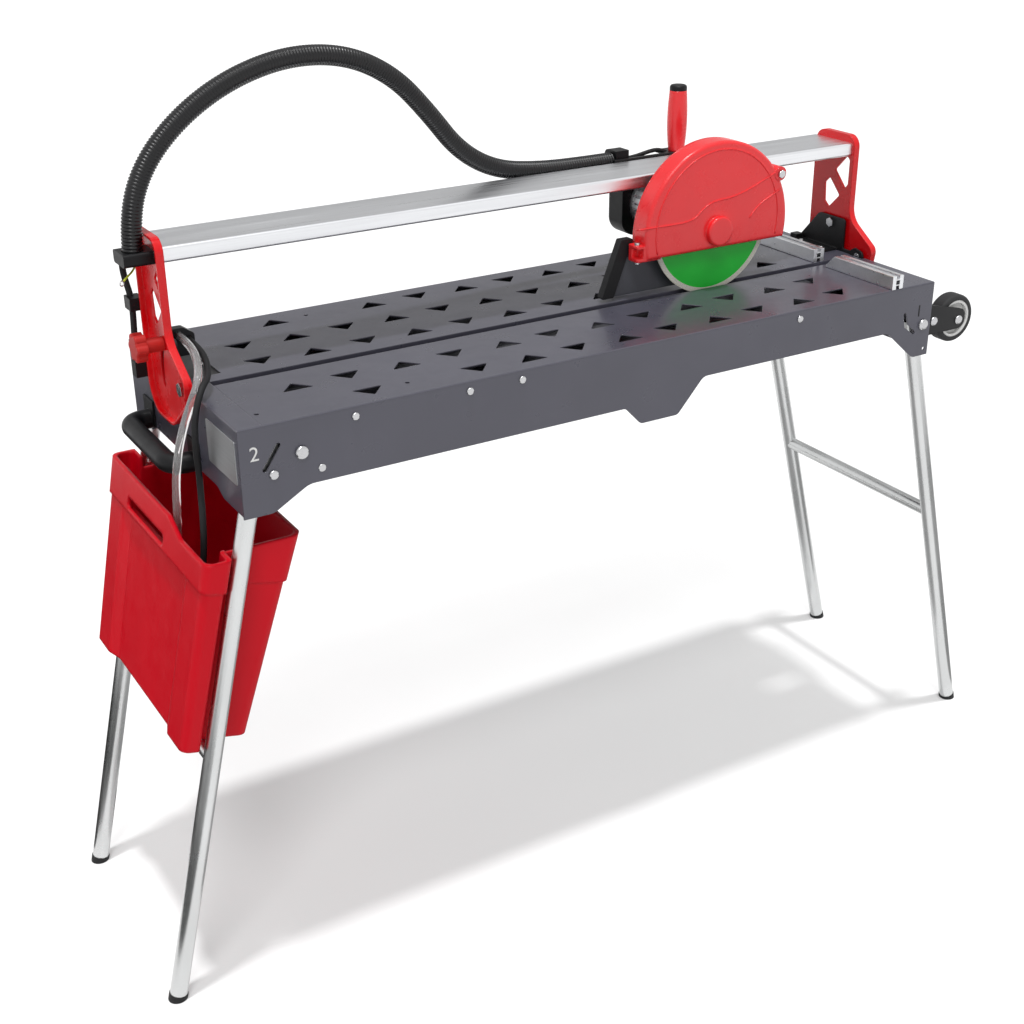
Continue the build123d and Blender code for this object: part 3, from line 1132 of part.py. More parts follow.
CONDUIT_POINTS = [
    (at(CLAMP_XY[0]), CLAMP_XY[1], 913), (at(CLAMP_XY[0]), CLAMP_XY[1], 962), (at(-536), 47, 1019),
    (at(-486), 52, 1069), (at(-418), 57, 1107), (at(-338), 62, 1127), (at(-258), 68, 1121),
    (at(-190), 75, 1088), (at(-138), 83, 1036), (at(-90), 92, 980), (at(-28), 101, 945), (at(45), 107, 934),
    (at(120), 110, 931.5), (at(CLIP_X[1] - 6), *CLIP_YZ),
]

with BuildPart() as pump:
    foot = BUCKET_PLANE.offset(BUCKET_LOW + BUCKET_WALL)
    with BuildSketch(foot):
        with Locations((PUMP_U, PUMP_Y)):
            RectangleRounded(66, 84, 16)
    extrude(amount=48)
    with BuildSketch(foot.offset(48)):
        with Locations((PUMP_U - 12, PUMP_Y - 18)):
            Circle(8)
    extrude(amount=14)
    add(cord(PUMP_CABLE_POINTS, CABLE_R + 0.2), mode=Mode.SUBTRACT)
save(pump, "pump")

with BuildPart() as water_hose:
    add(cord(HOSE_POINTS, HOSE_R, HOSE_BORE))
save(water_hose, "water_hose")

with BuildPart() as pump_cable:
    add(cord(PUMP_CABLE_POINTS, CABLE_R))
save(pump_cable, "pump_cable")

with BuildPart() as support_cable:
    add(cord(SUPPORT_CABLE, CABLE_R))
save(support_cable, "support_cable")

CONDUIT_PATH = cord_path(CONDUIT_POINTS)
CONDUIT_GROOVE = 1.8
STRAIGHT_END = 2 * CONDUIT_R / CONDUIT_PATH.length

with BuildPart() as conduit:
    stations = [(0.0, CONDUIT_R - CONDUIT_GROOVE)]
    rib_span = (1 - 2 * STRAIGHT_END) / CONDUIT_RIBS
    for k in range(CONDUIT_RIBS):
        base = STRAIGHT_END + rib_span * k
        stations.append((base + rib_span * 0.10, CONDUIT_R - CONDUIT_GROOVE))
        stations.append((base + rib_span * 0.30, CONDUIT_R))
        stations.append((base + rib_span * 0.70, CONDUIT_R))
        stations.append((base + rib_span * 0.90, CONDUIT_R - CONDUIT_GROOVE))
    stations.append((1.0, CONDUIT_R - CONDUIT_GROOVE))
    for share, radius in stations:
        with BuildSketch(Plane(origin=CONDUIT_PATH @ share, x_dir=(0, 1, 0), z_dir=CONDUIT_PATH % share)):
            Circle(radius)
    loft(ruled=True)
    with BuildSketch(Plane(origin=CONDUIT_PATH @ 0, z_dir=CONDUIT_PATH % 0)):
        Circle(CONDUIT_BORE)
    sweep(path=CONDUIT_PATH, mode=Mode.SUBTRACT)
save(conduit, "conduit")

for name, points, radius in (
    ("hose", HOSE_POINTS, HOSE_R), ("pump cable", PUMP_CABLE_POINTS, CABLE_R),
    ("support cable", SUPPORT_CABLE, CABLE_R), ("conduit", CONDUIT_POINTS, CONDUIT_R),
):
    length = cord_path(points).length
    tightest = min(bend_radii(points))
    print(f"{name}: length {length:.0f} mm, tightest bend {tightest:.0f} mm, radius {radius}")
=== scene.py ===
"""Looks of the bridge wet tile saw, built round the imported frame. Metres, in the part's own frame."""

import math

import bmesh
import bpy
import numpy as np
from mathutils import Matrix, Vector


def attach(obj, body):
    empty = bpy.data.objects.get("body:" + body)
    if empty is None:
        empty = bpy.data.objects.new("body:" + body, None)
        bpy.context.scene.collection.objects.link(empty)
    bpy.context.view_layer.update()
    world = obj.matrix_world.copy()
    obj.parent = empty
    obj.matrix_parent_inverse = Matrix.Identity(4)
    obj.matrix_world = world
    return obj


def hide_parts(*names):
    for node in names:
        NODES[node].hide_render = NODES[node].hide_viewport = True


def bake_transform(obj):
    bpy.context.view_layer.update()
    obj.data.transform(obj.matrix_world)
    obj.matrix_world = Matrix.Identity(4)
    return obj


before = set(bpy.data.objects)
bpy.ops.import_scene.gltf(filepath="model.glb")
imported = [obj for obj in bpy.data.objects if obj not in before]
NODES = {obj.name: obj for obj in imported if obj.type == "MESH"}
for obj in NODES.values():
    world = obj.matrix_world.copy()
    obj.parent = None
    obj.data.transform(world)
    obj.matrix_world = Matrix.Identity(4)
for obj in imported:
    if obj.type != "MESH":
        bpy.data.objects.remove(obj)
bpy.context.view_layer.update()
MM = 0.001
TABLE_MID_X = -14.25


def at(x):
    """X in millimetres of a point given from the middle of the table."""
    return x + TABLE_MID_X


def placed(points):
    """Points in metres from millimetres, their X given from the middle of the table."""
    return [Vector((at(x), y, z)) * MM for x, y, z in points]


# Camera
FOCAL_PX = 1507.23
FRAME_PX = 1024
SENSOR = 36.0
CAMERA_AT = (-1084.51, -1678.35, 1405.96)
CLIP = (0.05, 200)
YAW = math.radians(30.9)
PITCH = math.radians(25.4)
ROLL = math.radians(0.45)


def make_camera():
    """Camera that stands and looks as the photograph's did."""
    data = bpy.data.cameras.new("camera")
    data.sensor_width = SENSOR
    data.lens = FOCAL_PX / FRAME_PX * SENSOR
    data.clip_start, data.clip_end = CLIP
    camera = bpy.data.objects.new("camera", data)
    bpy.context.scene.collection.objects.link(camera)
    right = Vector((math.cos(YAW), -math.sin(YAW), 0))
    ahead = Vector((math.sin(YAW) * math.cos(PITCH), math.cos(YAW) * math.cos(PITCH), -math.sin(PITCH)))
    down = ahead.cross(right)
    across = right * math.cos(ROLL) + down * math.sin(ROLL)
    below = -right * math.sin(ROLL) + down * math.cos(ROLL)
    turn = Matrix((across, -below, -ahead)).transposed().to_4x4()
    camera.matrix_world = Matrix.Translation(Vector(CAMERA_AT) * MM) @ turn
    bpy.context.scene.camera = camera


make_camera()

# Materials
EVEN = (1, 1, 1)
ALONG_X = (0.02, 1, 1)
ALONG_Y = (1, 0.03, 1)
NOISE_ROUGHNESS = 0.55
EDGE_SAMPLES = 6
PAINT_EDGE = 0.0018
METAL_EDGE = 0.0008


def shade(color, factor):
    """A colour made lighter or darker."""
    return tuple(min(1.0, channel * factor) for channel in color)


class Shader:
    """A node material under construction."""

    def __init__(self, name):
        self.material = bpy.data.materials.new(name)
        self.material.use_nodes = True
        self.tree = self.material.node_tree
        self.main = self.tree.nodes["Principled BSDF"]
        self.place = self.tree.nodes.new("ShaderNodeTexCoord").outputs["Object"]

    def link(self, source, target):
        self.tree.links.new(source, target)

    def set(self, **values):
        """Fixed values on the main shader's sockets, with _ for a space in a socket's name."""
        for key, value in values.items():
            socket = self.main.inputs[key.replace("_", " ")]
            socket.default_value = (*value, 1.0) if isinstance(value, tuple) else value

    def soften(self, radius):
        """Round the look of sharp edges so that they catch the light."""
        node = self.tree.nodes.new("ShaderNodeBevel")
        node.samples = EDGE_SAMPLES
        node.inputs["Radius"].default_value = radius
        self.link(node.outputs["Normal"], self.main.inputs["Normal"])

    def stretched(self, scale):
        mapping = self.tree.nodes.new("ShaderNodeMapping")
        mapping.inputs["Scale"].default_value = scale
        self.link(self.place, mapping.inputs["Vector"])
        return mapping.outputs["Vector"]

    def noise(self, scale, detail, stretch=EVEN):
        node = self.tree.nodes.new("ShaderNodeTexNoise")
        node.inputs["Scale"].default_value = scale
        node.inputs["Detail"].default_value = detail
        node.inputs["Roughness"].default_value = NOISE_ROUGHNESS
        self.link(self.stretched(stretch), node.inputs["Vector"])
        return node.outputs["Fac"]

    def cells(self, scale, stretch=EVEN):
        node = self.tree.nodes.new("ShaderNodeTexVoronoi")
        node.inputs["Scale"].default_value = scale
        self.link(self.stretched(stretch), node.inputs["Vector"])
        return node.outputs["Distance"]

    def ramp(self, value, stops):
        """Colours or greys at positions along a value."""
        node = self.tree.nodes.new("ShaderNodeValToRGB")
        for element, (position, color) in zip(node.color_ramp.elements, stops):
            element.position = position
            element.color = (*color, 1.0) if isinstance(color, tuple) else (color, color, color, 1.0)
        self.link(value, node.inputs["Fac"])
        return node.outputs["Color"]

    def color(self, value, stops):
        self.link(self.ramp(value, stops), self.main.inputs["Base Color"])

    def tint(self, value, color, vary, spread):
        """Base colour that wanders either side of a middle one."""
        stops = [(0.5 - spread, shade(color, 1 - vary)), (0.5 + spread, shade(color, 1 + vary))]
        self.color(value, stops)

    def rough(self, value, low, high):
        self.link(self.ramp(value, [(0.3, low), (0.7, high)]), self.main.inputs["Roughness"])

    def bump(self, value, strength, depth):
        """Relief on top of any that is there already."""
        node = self.tree.nodes.new("ShaderNodeBump")
        node.inputs["Strength"].default_value = strength
        node.inputs["Distance"].default_value = depth
        self.link(value, node.inputs["Height"])
        normal = self.main.inputs["Normal"]
        if normal.is_linked:
            self.link(normal.links[0].from_socket, node.inputs["Normal"])
        self.link(node.outputs["Normal"], normal)


def painted(name, color, rough, peel=0.05, coat=0.0, vary=0.10, specular=0.5):
    """Powder coat or spray paint: faint clouding, orange peel, uneven gloss."""
    shader = Shader(name)
    shader.soften(PAINT_EDGE)
    shader.tint(shader.noise(scale=7, detail=5), color, vary, spread=0.25)
    shader.rough(shader.noise(scale=26, detail=3), rough - 0.05, rough + 0.06)
    shader.bump(shader.noise(scale=900, detail=2), strength=peel, depth=0.0004)
    shader.set(Coat_Weight=coat, Coat_Roughness=0.12, Specular_IOR_Level=specular)
    return shader.material


def moulded(name, color, rough, grain, scale=1400, vary=0.08, specular=0.5, edge=0.001):
    """Moulded plastic or rubber: fine spark-eroded grain and slight flow marks."""
    shader = Shader(name)
    shader.soften(edge)
    flow = shader.noise(scale=9, detail=4, stretch=(1, 1, 0.45))
    shader.tint(flow, color, vary, spread=0.25)
    shader.rough(shader.noise(scale=40, detail=3), rough - 0.05, rough + 0.07)
    shader.bump(shader.noise(scale, detail=3), strength=grain, depth=0.0003)
    shader.set(Specular_IOR_Level=specular)
    return shader.material


def metal(name, color, rough, scale, vary, grain, streak=EVEN):
    """Bare metal: drawn or brushed streaks along one axis, with uneven gloss."""
    shader = Shader(name)
    shader.soften(METAL_EDGE)
    lines = shader.noise(scale, detail=4, stretch=streak)
    shader.tint(lines, color, vary, spread=0.3)
    shader.rough(shader.noise(scale * 0.4, detail=4, stretch=streak), rough - 0.07, rough + 0.09)
    shader.bump(lines, strength=grain, depth=0.0002)
    shader.set(Metallic=1.0)
    return shader.material


def zinc_plated(name):
    """Bright zinc tube: drawn lines, small spangles and duller patches."""
    shader = Shader(name)
    patches = shader.noise(scale=18, detail=5, stretch=(1, 1, 0.25))
    shader.color(patches, [(0.3, (0.58, 0.59, 0.59)), (0.7, (0.67, 0.68, 0.68))])
    shader.bump(shader.cells(scale=160, stretch=(1, 1, 0.35)), strength=0.04, depth=0.0002)
    shader.rough(patches, 0.22, 0.32)
    drawn = shader.noise(scale=420, detail=3, stretch=(1, 1, 0.05))
    shader.bump(drawn, strength=0.05, depth=0.0002)
    shader.set(Metallic=1.0)
    return shader.material


def clear_tube(name):
    """Clear PVC hose, slightly cloudy."""
    shader = Shader(name)
    clouds = shader.noise(scale=60, detail=3)
    shader.color(clouds, [(0.3, (0.90, 0.88, 0.88)), (0.7, (0.97, 0.96, 0.96))])
    shader.rough(shader.noise(scale=30, detail=2), 0.08, 0.16)
    shader.set(Transmission_Weight=0.88, IOR=1.38)
    return shader.material


def sintered_rim(name):
    """Diamond rim: pale bond with fine grit."""
    shader = Shader(name)
    grit = shader.cells(scale=900)
    shader.color(grit, [(0.1, (0.42, 0.40, 0.34)), (0.5, (0.70, 0.68, 0.60))])
    shader.set(Roughness=0.62)
    shader.bump(grit, strength=0.35, depth=0.0004)
    return shader.material


def blade_face(name):
    """Painted blade body with a faint grain."""
    shader = Shader(name)
    clouds = shader.noise(scale=14, detail=4)
    shader.color(clouds, [(0.25, (0.010, 0.48, 0.034)), (0.75, (0.016, 0.58, 0.046))])
    shader.rough(shader.noise(scale=70, detail=3), 0.30, 0.42)
    shader.bump(shader.noise(scale=600, detail=2), strength=0.04, depth=0.0003)
    return shader.material


PAINTS = {
    "table_paint": dict(color=(0.066, 0.065, 0.088), rough=0.31, coat=0.25),
    "grey_paint": dict(color=(0.075, 0.077, 0.090), rough=0.42),
    "black_paint": dict(color=(0.007, 0.007, 0.008), rough=0.40, specular=0.35),
    "red_paint": dict(color=(0.70, 0.001, 0.005), rough=0.26, peel=0.03, coat=0.10, vary=0.06,
                      specular=0.35),
}
MOULDINGS = {
    "red_plastic": dict(color=(0.84, 0.022, 0.028), rough=0.24, grain=0.03, scale=1200, vary=0.05,
                        edge=0.003),
    "bucket_plastic": dict(color=(0.58, 0.0005, 0.010), rough=0.34, grain=0.06, scale=700, vary=0.07,
                           specular=0.16, edge=0.006),
    "knob_plastic": dict(color=(0.46, 0.018, 0.015), rough=0.46, grain=0.10, scale=1200, vary=0.06,
                         specular=0.25),
    "black_plastic": dict(color=(0.005, 0.005, 0.006), rough=0.42, grain=0.10, specular=0.22),
    "conduit_black": dict(color=(0.004, 0.004, 0.005), rough=0.30, grain=0.05, specular=0.38),
    "black_rubber": dict(color=(0.009, 0.009, 0.010), rough=0.62, grain=0.16, scale=900, specular=0.30),
    "tyre_rubber": dict(color=(0.016, 0.016, 0.017), rough=0.70, grain=0.18, scale=700),
    "white_plastic": dict(color=(0.72, 0.72, 0.71), rough=0.42, grain=0.06),
    "earth_green": dict(color=(0.40, 0.46, 0.012), rough=0.40, grain=0.05),
    "polymer": dict(color=(0.10, 0.10, 0.11), rough=0.48, grain=0.08),
}
METALS = {
    "aluminium": dict(color=(0.77, 0.78, 0.80), rough=0.34, scale=420, vary=0.05, grain=0.05,
                      streak=ALONG_X),
    "motor_metal": dict(color=(0.66, 0.66, 0.68), rough=0.42, scale=500, vary=0.12, grain=0.12),
    "fastener_steel": dict(color=(0.52, 0.52, 0.53), rough=0.20, scale=900, vary=0.10, grain=0.08),
    "bare_plate": dict(color=(0.50, 0.51, 0.52), rough=0.40, scale=700, vary=0.06, grain=0.08,
                       streak=ALONG_Y),
    "tray_steel": dict(color=(0.20, 0.20, 0.22), rough=0.52, scale=120, vary=0.18, grain=0.06),
}
SPECIALS = {
    "zinc_tube": zinc_plated,
    "clear_hose": clear_tube,
    "blade_green": blade_face,
    "blade_rim": sintered_rim,
}
LOOKS = {}
for make, table in ((painted, PAINTS), (moulded, MOULDINGS), (metal, METALS)):
    for name, values in table.items():
        LOOKS[name] = make(name, **values)
for name, make in SPECIALS.items():
    LOOKS[name] = make(name)

NODE_LOOKS = {
    "table_paint": ["deck_front", "deck_rear", "deck_ends", "front_skirt", "rear_skirt", "end_plates"],
    "tray_steel": ["drain_tray"],
    "black_paint": ["left_tilt_bracket", "right_tilt_bracket", "wheel_brackets", "carriage_frame"],
    "fastener_steel": ["tilt_bolts", "table_screws", "leg_bolts", "beam_bolts", "guard_screws",
                       "blade_clamp", "spindle", "bearings", "wheel_axles"],
    "black_plastic": ["carry_handle", "cable_clamps", "conduit", "motor_cap", "grip_cap", "conduit_clip",
                      "pump", "power_switch"],
    "bare_plate": ["rating_plate"],
    "aluminium": ["fence_rails", "beam"],
    "red_paint": ["left_support", "right_support"],
    "red_plastic": ["guard_cover", "guard_back", "grip"],
    "knob_plastic": ["tilt_knob"],
    "polymer": ["glide_shoes"],
    "motor_metal": ["motor_flange", "motor_housing"],
    "grey_paint": ["splash_plate"],
    "black_rubber": ["splash_seal", "pump_cable", "support_cable", "left_feet", "right_feet"],
    "clear_hose": ["water_hose"],
    "blade_green": ["blade_core"],
    "blade_rim": ["blade_rim"],
    "zinc_tube": ["left_leg_front", "left_leg_rear", "left_cross_tube", "right_leg_front", "right_leg_rear",
                  "right_cross_tube"],
    "tyre_rubber": ["front_tyre", "rear_tyre"],
    "white_plastic": ["front_hub", "rear_hub"],
    "bucket_plastic": ["bucket"],
}


def dress(piece, look):
    """Give a piece one material."""
    piece.data.materials.clear()
    piece.data.materials.append(LOOKS[look])


for look, names in NODE_LOOKS.items():
    for name in names:
        dress(NODES[name], look)


# Round pieces
OFF_AXIS = (0.3, 0.9, 0.2)


def finished(name, mesh, smooth=True):
    """Object from a bmesh, linked to the scene."""
    bmesh.ops.recalc_face_normals(mesh, faces=mesh.faces)
    data = bpy.data.meshes.new(name)
    mesh.to_mesh(data)
    mesh.free()
    for polygon in data.polygons:
        polygon.use_smooth = smooth
    piece = bpy.data.objects.new(name, data)
    bpy.context.scene.collection.objects.link(piece)
    return piece


def angles(count):
    """Even angles round a circle."""
    return [2 * math.pi * k / count for k in range(count)]


def band(mesh, low, high):
    """Faces between two rings of vertices."""
    for k in range(len(low)):
        other = (k + 1) % len(low)
        mesh.faces.new((low[k], low[other], high[other], high[k]))


def spline_line(points, steps):
    """Points of a smooth NURBS line led by a route's points."""
    data = bpy.data.curves.new("route", "CURVE")
    data.dimensions = "3D"
    spline = data.splines.new("NURBS")
    spline.points.add(len(points) - 1)
    for knot, point in zip(spline.points, points):
        knot.co = (*point, 1.0)
    spline.order_u = 3
    spline.use_endpoint_u = True
    spline.resolution_u = steps
    route = bpy.data.objects.new("route", data)
    bpy.context.scene.collection.objects.link(route)
    line = bpy.data.meshes.new_from_object(route)
    found = np.array([vertex.co for vertex in line.vertices])
    bpy.data.objects.remove(route)
    bpy.data.meshes.remove(line)
    return found


def along(line):
    """Distance of each point of a line from its start."""
    return np.concatenate(([0.0], np.cumsum(np.linalg.norm(np.diff(line, axis=0), axis=1))))


def stations(line, distances):
    """Points of a line at given distances from its start."""
    run = along(line)
    return np.stack([np.interp(distances, run, line[:, k]) for k in range(3)], axis=1)


def tube(name, line, radii, sides):
    """Round tube along a line with a radius at each of its points, closed at both ends."""
    tangents = np.gradient(line, axis=0)
    tangents /= np.linalg.norm(tangents, axis=1)[:, None]
    side = np.cross(tangents[0], OFF_AXIS)
    mesh = bmesh.new()
    rings = []
    for point, tangent, radius in zip(line, tangents, radii):
        side = side - tangent * side.dot(tangent)
        side /= np.linalg.norm(side)
        other = np.cross(tangent, side)
        ring = []
        for angle in angles(sides):
            ring.append(mesh.verts.new(point + radius * (side * math.cos(angle) + other * math.sin(angle))))
        rings.append(ring)
    for low, high in zip(rings, rings[1:]):
        band(mesh, low, high)
    mesh.faces.new(list(reversed(rings[0])))
    mesh.faces.new(rings[-1])
    return finished(name, mesh)


# Cords
HOSE_ROUTE = placed([
    (-516, 38, 814), (-516, 2, 814), (-519, -32, 806), (-530, -64, 790), (-548, -74, 764), (-563, -74, 728),
    (-571, -68, 684), (-571, -56, 636), (-567, -38, 590), (-568, -22, 546), (-576, -12, 514),
    (-571.15, -8, 456.6), (-580.25, -8, 417.6),
])
PUMP_CABLE_ROUTE = placed([
    (-503, 45, 806), (-503, 8, 806), (-506, -28, 800), (-517, -60, 790), (-534, -82, 788), (-549, -92, 760),
    (-552, -92, 724), (-549, -86, 690), (-548, -82, 660), (-551, -90, 634), (-556, -98, 594),
    (-561, -94, 552), (-566, -80, 512), (-568, -60, 474), (-564, -42, 436), (-559.15, -28, 394.2),
])
SUPPORT_CABLE_ROUTE = placed([
    (-560, 58, 917), (-560, 88, 908), (-556, 104, 882), (-550, 100, 850), (-552, 97, 818), (-554, 97, 788),
    (-550, 92, 762),
])
CONDUIT_ROUTE = placed([
    (-560, 40, 913), (-560, 40, 962), (-536, 47, 1019), (-486, 52, 1069), (-418, 57, 1107),
    (-338, 62, 1127), (-258, 68, 1121), (-190, 75, 1088), (-138, 83, 1036), (-90, 92, 980), (-28, 101, 945),
    (45, 107, 934), (120, 110, 931.5), (187, 112, 931.5),
])
MOTOR_LEAD_ROUTE = placed([
    (188, 112, 931.5), (204, 112.5, 931.8), (221, 112, 934), (238, 110, 938), (253, 108, 939.5),
    (264, 106, 935),
])
EARTH_ROUTE = placed([
    (-556, 42, 910), (-560, 40, 905), (-565, 36, 901.5), (-570, 31, 900), (-575, 27.5, 898),
    (-579, 25, 895.5),
])
HOSE_DIAMETER = 0.010
CABLE_DIAMETER = 0.008
MOTOR_LEAD_DIAMETER = 0.006
EARTH_DIAMETER = 0.0024
CORD_STEPS = 12
CORD_SIDES = 20
EARTH_SIDES = 12

# Conduit ribs: each has its outline as (share of the pitch, share of the groove's depth) points
CONDUIT_DIAMETER = 0.025
CONDUIT_GROOVE = 0.0009
CONDUIT_PITCH = 0.0040
CONDUIT_STEPS = 24
CONDUIT_SIDES = 28
RIB = ((0.0, 0.0), (0.16, 0.0), (0.30, 1.0), (0.70, 1.0), (0.84, 0.0))

# Ring lug on the earth wire
LUG_R = 0.0031
LUG_WIRE = 0.0008
LUG_SIDES = 28
LUG_ROUND = 10


def plain_cord(name, route, diameter, node, look):
    """Smooth cord along a route, in place of a node if one is named."""
    line = spline_line(route, CORD_STEPS)
    piece = tube(name, line, np.full(len(line), diameter / 2), CORD_SIDES)
    dress(piece, look)
    if node:
        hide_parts(node)
    return piece


def ribbed_conduit():
    """Corrugated conduit in place of the plain one."""
    line = spline_line(CONDUIT_ROUTE, CONDUIT_STEPS)
    length = along(line)[-1]
    ribs = int(length / CONDUIT_PITCH)
    distances = []
    radii = []
    for k in range(ribs):
        for share, height in RIB:
            distances.append((k + share) * length / ribs)
            radii.append(CONDUIT_DIAMETER / 2 - CONDUIT_GROOVE * (1 - height))
    path = stations(line, np.array(distances))
    piece = tube("conduit_ribbed", path, radii, CONDUIT_SIDES)
    dress(piece, "conduit_black")
    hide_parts("conduit")
    return piece


def ring_lug(end, heading):
    """Ring terminal on a wire's end, lying in the plane of the wire and the Z axis."""
    up = Vector((0, 0, 1))
    up = (up - heading * up.dot(heading)).normalized()
    axis = heading.cross(up)
    middle = end + heading * (LUG_R + LUG_WIRE)
    mesh = bmesh.new()
    rings = []
    for angle in angles(LUG_SIDES):
        outward = up * math.sin(angle) - heading * math.cos(angle)
        ring = []
        for roll in angles(LUG_ROUND):
            reach = outward * (LUG_R + LUG_WIRE * math.cos(roll))
            ring.append(mesh.verts.new(middle + reach + axis * LUG_WIRE * math.sin(roll)))
        rings.append(ring)
    for low, high in zip(rings, rings[1:] + rings[:1]):
        band(mesh, low, high)
    piece = finished("earth_lug", mesh)
    dress(piece, "fastener_steel")
    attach(piece, "bridge")
    return piece


def earth_wire():
    """Short wire under the conduit clamp, with its ring lug."""
    line = spline_line(EARTH_ROUTE, CORD_STEPS)
    piece = tube("earth_wire", line, np.full(len(line), EARTH_DIAMETER / 2), EARTH_SIDES)
    dress(piece, "earth_green")
    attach(piece, "bridge")
    lug = ring_lug(Vector(line[-1]), Vector(line[-1] - line[-2]).normalized())


earth_wire()
hose = plain_cord("hose", HOSE_ROUTE, HOSE_DIAMETER, "water_hose", "clear_hose")
pump_lead = plain_cord("pump_lead", PUMP_CABLE_ROUTE, CABLE_DIAMETER, "pump_cable", "black_rubber")
support_lead = plain_cord("support_lead", SUPPORT_CABLE_ROUTE, CABLE_DIAMETER, "support_cable",
                          "black_rubber")
motor_lead = plain_cord("motor_lead", MOTOR_LEAD_ROUTE, MOTOR_LEAD_DIAMETER, None, "black_rubber")
conduit = ribbed_conduit()

for piece in (hose, pump_lead):
    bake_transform(piece)
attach(support_lead, "bridge")
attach(motor_lead, "carriage")
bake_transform(conduit)

# Numerals on the front skirt
SKIRT_FACE = -0.188
NUMERAL_HEIGHT = 0.0175
FONT_RATIO = 1.42
NUMERAL_DEPTH = 0.00012
NUMERAL_STANDOFF = 0.00013


def numeral(name, text, x, z, look):
    """Thin figure on the skirt's face, centred on a point."""
    data = bpy.data.curves.new(name, "FONT")
    data.body = text
    data.size = NUMERAL_HEIGHT * FONT_RATIO
    data.align_x = "CENTER"
    data.align_y = "CENTER"
    data.extrude = NUMERAL_DEPTH
    letter = bpy.data.objects.new(name + "_font", data)
    bpy.context.scene.collection.objects.link(letter)
    mesh = bpy.data.meshes.new_from_object(letter)
    bpy.data.objects.remove(letter)
    piece = bpy.data.objects.new(name, mesh)
    bpy.context.scene.collection.objects.link(piece)
    upright = Matrix.Rotation(math.pi / 2, 4, "X")
    mesh.transform(Matrix.Translation((x * MM, SKIRT_FACE - NUMERAL_STANDOFF, z * MM)) @ upright)
    dress(piece, look)
    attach(piece, "table")


numeral("numeral_two", "2", at(-516.5), 737, "white_plastic")
numeral("numeral_one", "1", at(510), 729, "black_paint")

# Raised lines on the guard, in millimetres
GUARD_FACE = -46.0
RIDGE_R = 1.3
RIDGE_END = 0.3
RIDGE_STEPS = 10
RIDGE_SIDES = 12
RING_CENTRE = (247.0, 860.0)
RING_R = 107.0
RING_SWEEP = (-14, 194)
RING_STEP = 8
UPPER_LINE = [
    (106, 874), (152, 873), (203, 873), (221, 890.5), (240, 897), (266, 897.5), (295, 904), (321, 914),
    (349, 925),
]
LOWER_LINE = [(358, 899), (333, 889), (311, 876), (302, 864)]


def guard_ring():
    """Points of the arc inside the guard's rim."""
    arc = [math.radians(angle) for angle in range(RING_SWEEP[0], RING_SWEEP[1] + 1, RING_STEP)]
    x, z = RING_CENTRE
    return [(x + RING_R * math.cos(turn), z + RING_R * math.sin(turn)) for turn in arc]


def guard_ridge(name, points):
    """Half-sunk bead along a line of (offset, height) points on the guard's face."""
    line = spline_line(placed([(x, GUARD_FACE, z) for x, z in points]), RIDGE_STEPS)
    radii = np.full(len(line), RIDGE_R * MM)
    radii[0] = radii[-1] = RIDGE_R * MM * RIDGE_END
    piece = tube(name, line, radii, RIDGE_SIDES)
    dress(piece, "red_plastic")
    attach(piece, "carriage")


guard_ridge("guard_ridge_ring", guard_ring())
guard_ridge("guard_ridge_upper", UPPER_LINE)
guard_ridge("guard_ridge_lower", LOWER_LINE)

# Stage
FLOOR_REACH = 60.0
FLOOR_Z = -0.0005
FLOOR_GLOW = 0.20
WORLD_LIGHT = 0.50
WORLD_SEEN = 1.0
CARD_Z = 0.002
# Painted shade in reflections: grey cards lying on the floor that only reflections see. The middle one
# stands in for the table's shadow under it, and the others darken the white floor so that the legs and the
# bucket reflect dark bands.
FLOOR_CARDS = {
    "card_floor_left": ((-1.60, -0.33), (1.5, 1.25), 0.09),
    "card_floor_behind": ((-1.40, 1.25), (1.7, 2.1), 0.03),
    "card_floor_middle": ((0.0, 0.1), (1.0, 0.7), 0.40),
    "card_floor_right": ((1.5, -0.6), (1.5, 1.2), 0.35),
}


def sun(name, travel, strength, spread):
    """Distant lamp whose light travels along a direction."""
    data = bpy.data.lights.new(name, "SUN")
    data.energy = strength
    data.angle = math.radians(spread)
    light = bpy.data.objects.new(name, data)
    bpy.context.scene.collection.objects.link(light)
    light.rotation_mode = "QUATERNION"
    light.rotation_quaternion = Vector(travel).to_track_quat("-Z", "Y")


def rectangle(name, across, up, z):
    """Flat rectangle round the origin, at a height."""
    mesh = bmesh.new()
    corners = ((-across, -up), (across, -up), (across, up), (-across, up))
    mesh.faces.new([mesh.verts.new((x, y, z)) for x, y in corners])
    return finished(name, mesh, False)


def card(name, place, target, size, level):
    """Grey card that only reflections see: a painted reflection, a glowing grey sheet that shiny surfaces
    reflect in place of the white surroundings.
    """
    piece = rectangle(name, size[0] / 2, size[1] / 2, 0)
    facing = (Vector(target) - Vector(place)).to_track_quat("Z", "Y")
    piece.matrix_world = Matrix.Translation(place) @ facing.to_matrix().to_4x4()
    shader = Shader(name)
    shader.set(Base_Color=(0.0, 0.0, 0.0), Roughness=1.0, Specular_IOR_Level=0.0)
    shader.set(Emission_Color=(level, level, level), Emission_Strength=1.0)
    piece.data.materials.append(shader.material)
    piece.visible_camera = False
    piece.visible_diffuse = False
    piece.visible_transmission = False
    piece.visible_shadow = False


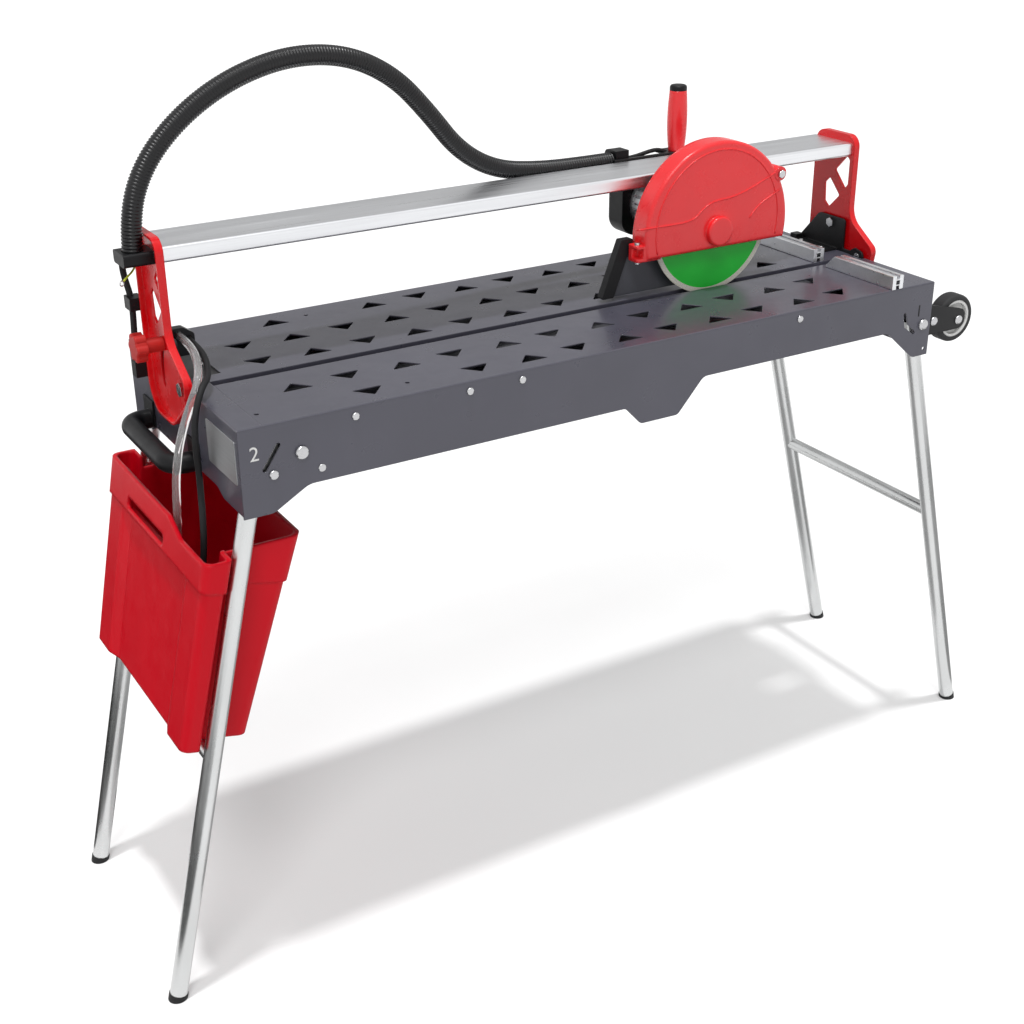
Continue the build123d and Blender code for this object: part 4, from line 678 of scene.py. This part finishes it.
def seen_rays(tree):
    """Value that is 1 for what is seen, reflected or looked through, and 0 for what only lights."""
    rays = tree.nodes.new("ShaderNodeLightPath").outputs
    value = rays["Is Camera Ray"]
    for kind in ("Is Glossy Ray", "Is Transmission Ray"):
        larger = tree.nodes.new("ShaderNodeMath")
        larger.operation = "MAXIMUM"
        tree.links.new(value, larger.inputs[0])
        tree.links.new(rays[kind], larger.inputs[1])
        value = larger.outputs["Value"]
    return value


def make_floor():
    """White floor with a glow that is seen but lights nothing."""
    floor = rectangle("floor", FLOOR_REACH, FLOOR_REACH, FLOOR_Z)
    shader = Shader("floor")
    shader.color(shader.noise(scale=3, detail=2), [(0.3, (0.75, 0.75, 0.75)), (0.7, (0.77, 0.77, 0.77))])
    shader.set(Roughness=0.9)
    nodes = shader.tree.nodes
    plain = shader.main.outputs["BSDF"]
    glow = nodes.new("ShaderNodeEmission")
    glow.inputs["Strength"].default_value = FLOOR_GLOW
    both = nodes.new("ShaderNodeAddShader")
    shader.link(plain, both.inputs[0])
    shader.link(glow.outputs["Emission"], both.inputs[1])
    pick = nodes.new("ShaderNodeMixShader")
    shader.link(seen_rays(shader.tree), pick.inputs["Fac"])
    shader.link(plain, pick.inputs[1])
    shader.link(both.outputs["Shader"], pick.inputs[2])
    shader.link(pick.outputs["Shader"], nodes["Material Output"].inputs["Surface"])
    floor.data.materials.append(shader.material)


def make_world():
    """White surroundings that look brighter than they light."""
    world = bpy.data.worlds.new("studio")
    bpy.context.scene.world = world
    world.use_nodes = True
    tree = world.node_tree
    background = tree.nodes["Background"]
    background.inputs["Color"].default_value = (1, 1, 1, 1)
    strength = tree.nodes.new("ShaderNodeMapRange")
    strength.inputs["To Min"].default_value = WORLD_LIGHT
    strength.inputs["To Max"].default_value = WORLD_SEEN
    tree.links.new(seen_rays(tree), strength.inputs["Value"])
    tree.links.new(strength.outputs["Result"], background.inputs["Strength"])


make_floor()
make_world()
sun("top", travel=(0.03, 0.06, -1.0), strength=1.75, spread=4)
sun("key", travel=(0.30, 0.50, -0.80), strength=0.85, spread=18)
# Painted reflection: a mid-grey card behind and above, so the beam's top and the deck reflect grey in place
# of white.
card("card_back", place=(1.4, 2.8, 2.4), target=(0.2, 0.1, 0.9), size=(5.5, 3.0), level=0.50)
for name, ((x, y), size, level) in FLOOR_CARDS.items():
    card(name, (x, y, CARD_Z), (x, y, 1), size, level)

bpy.context.scene.view_settings.view_transform = "Standard"
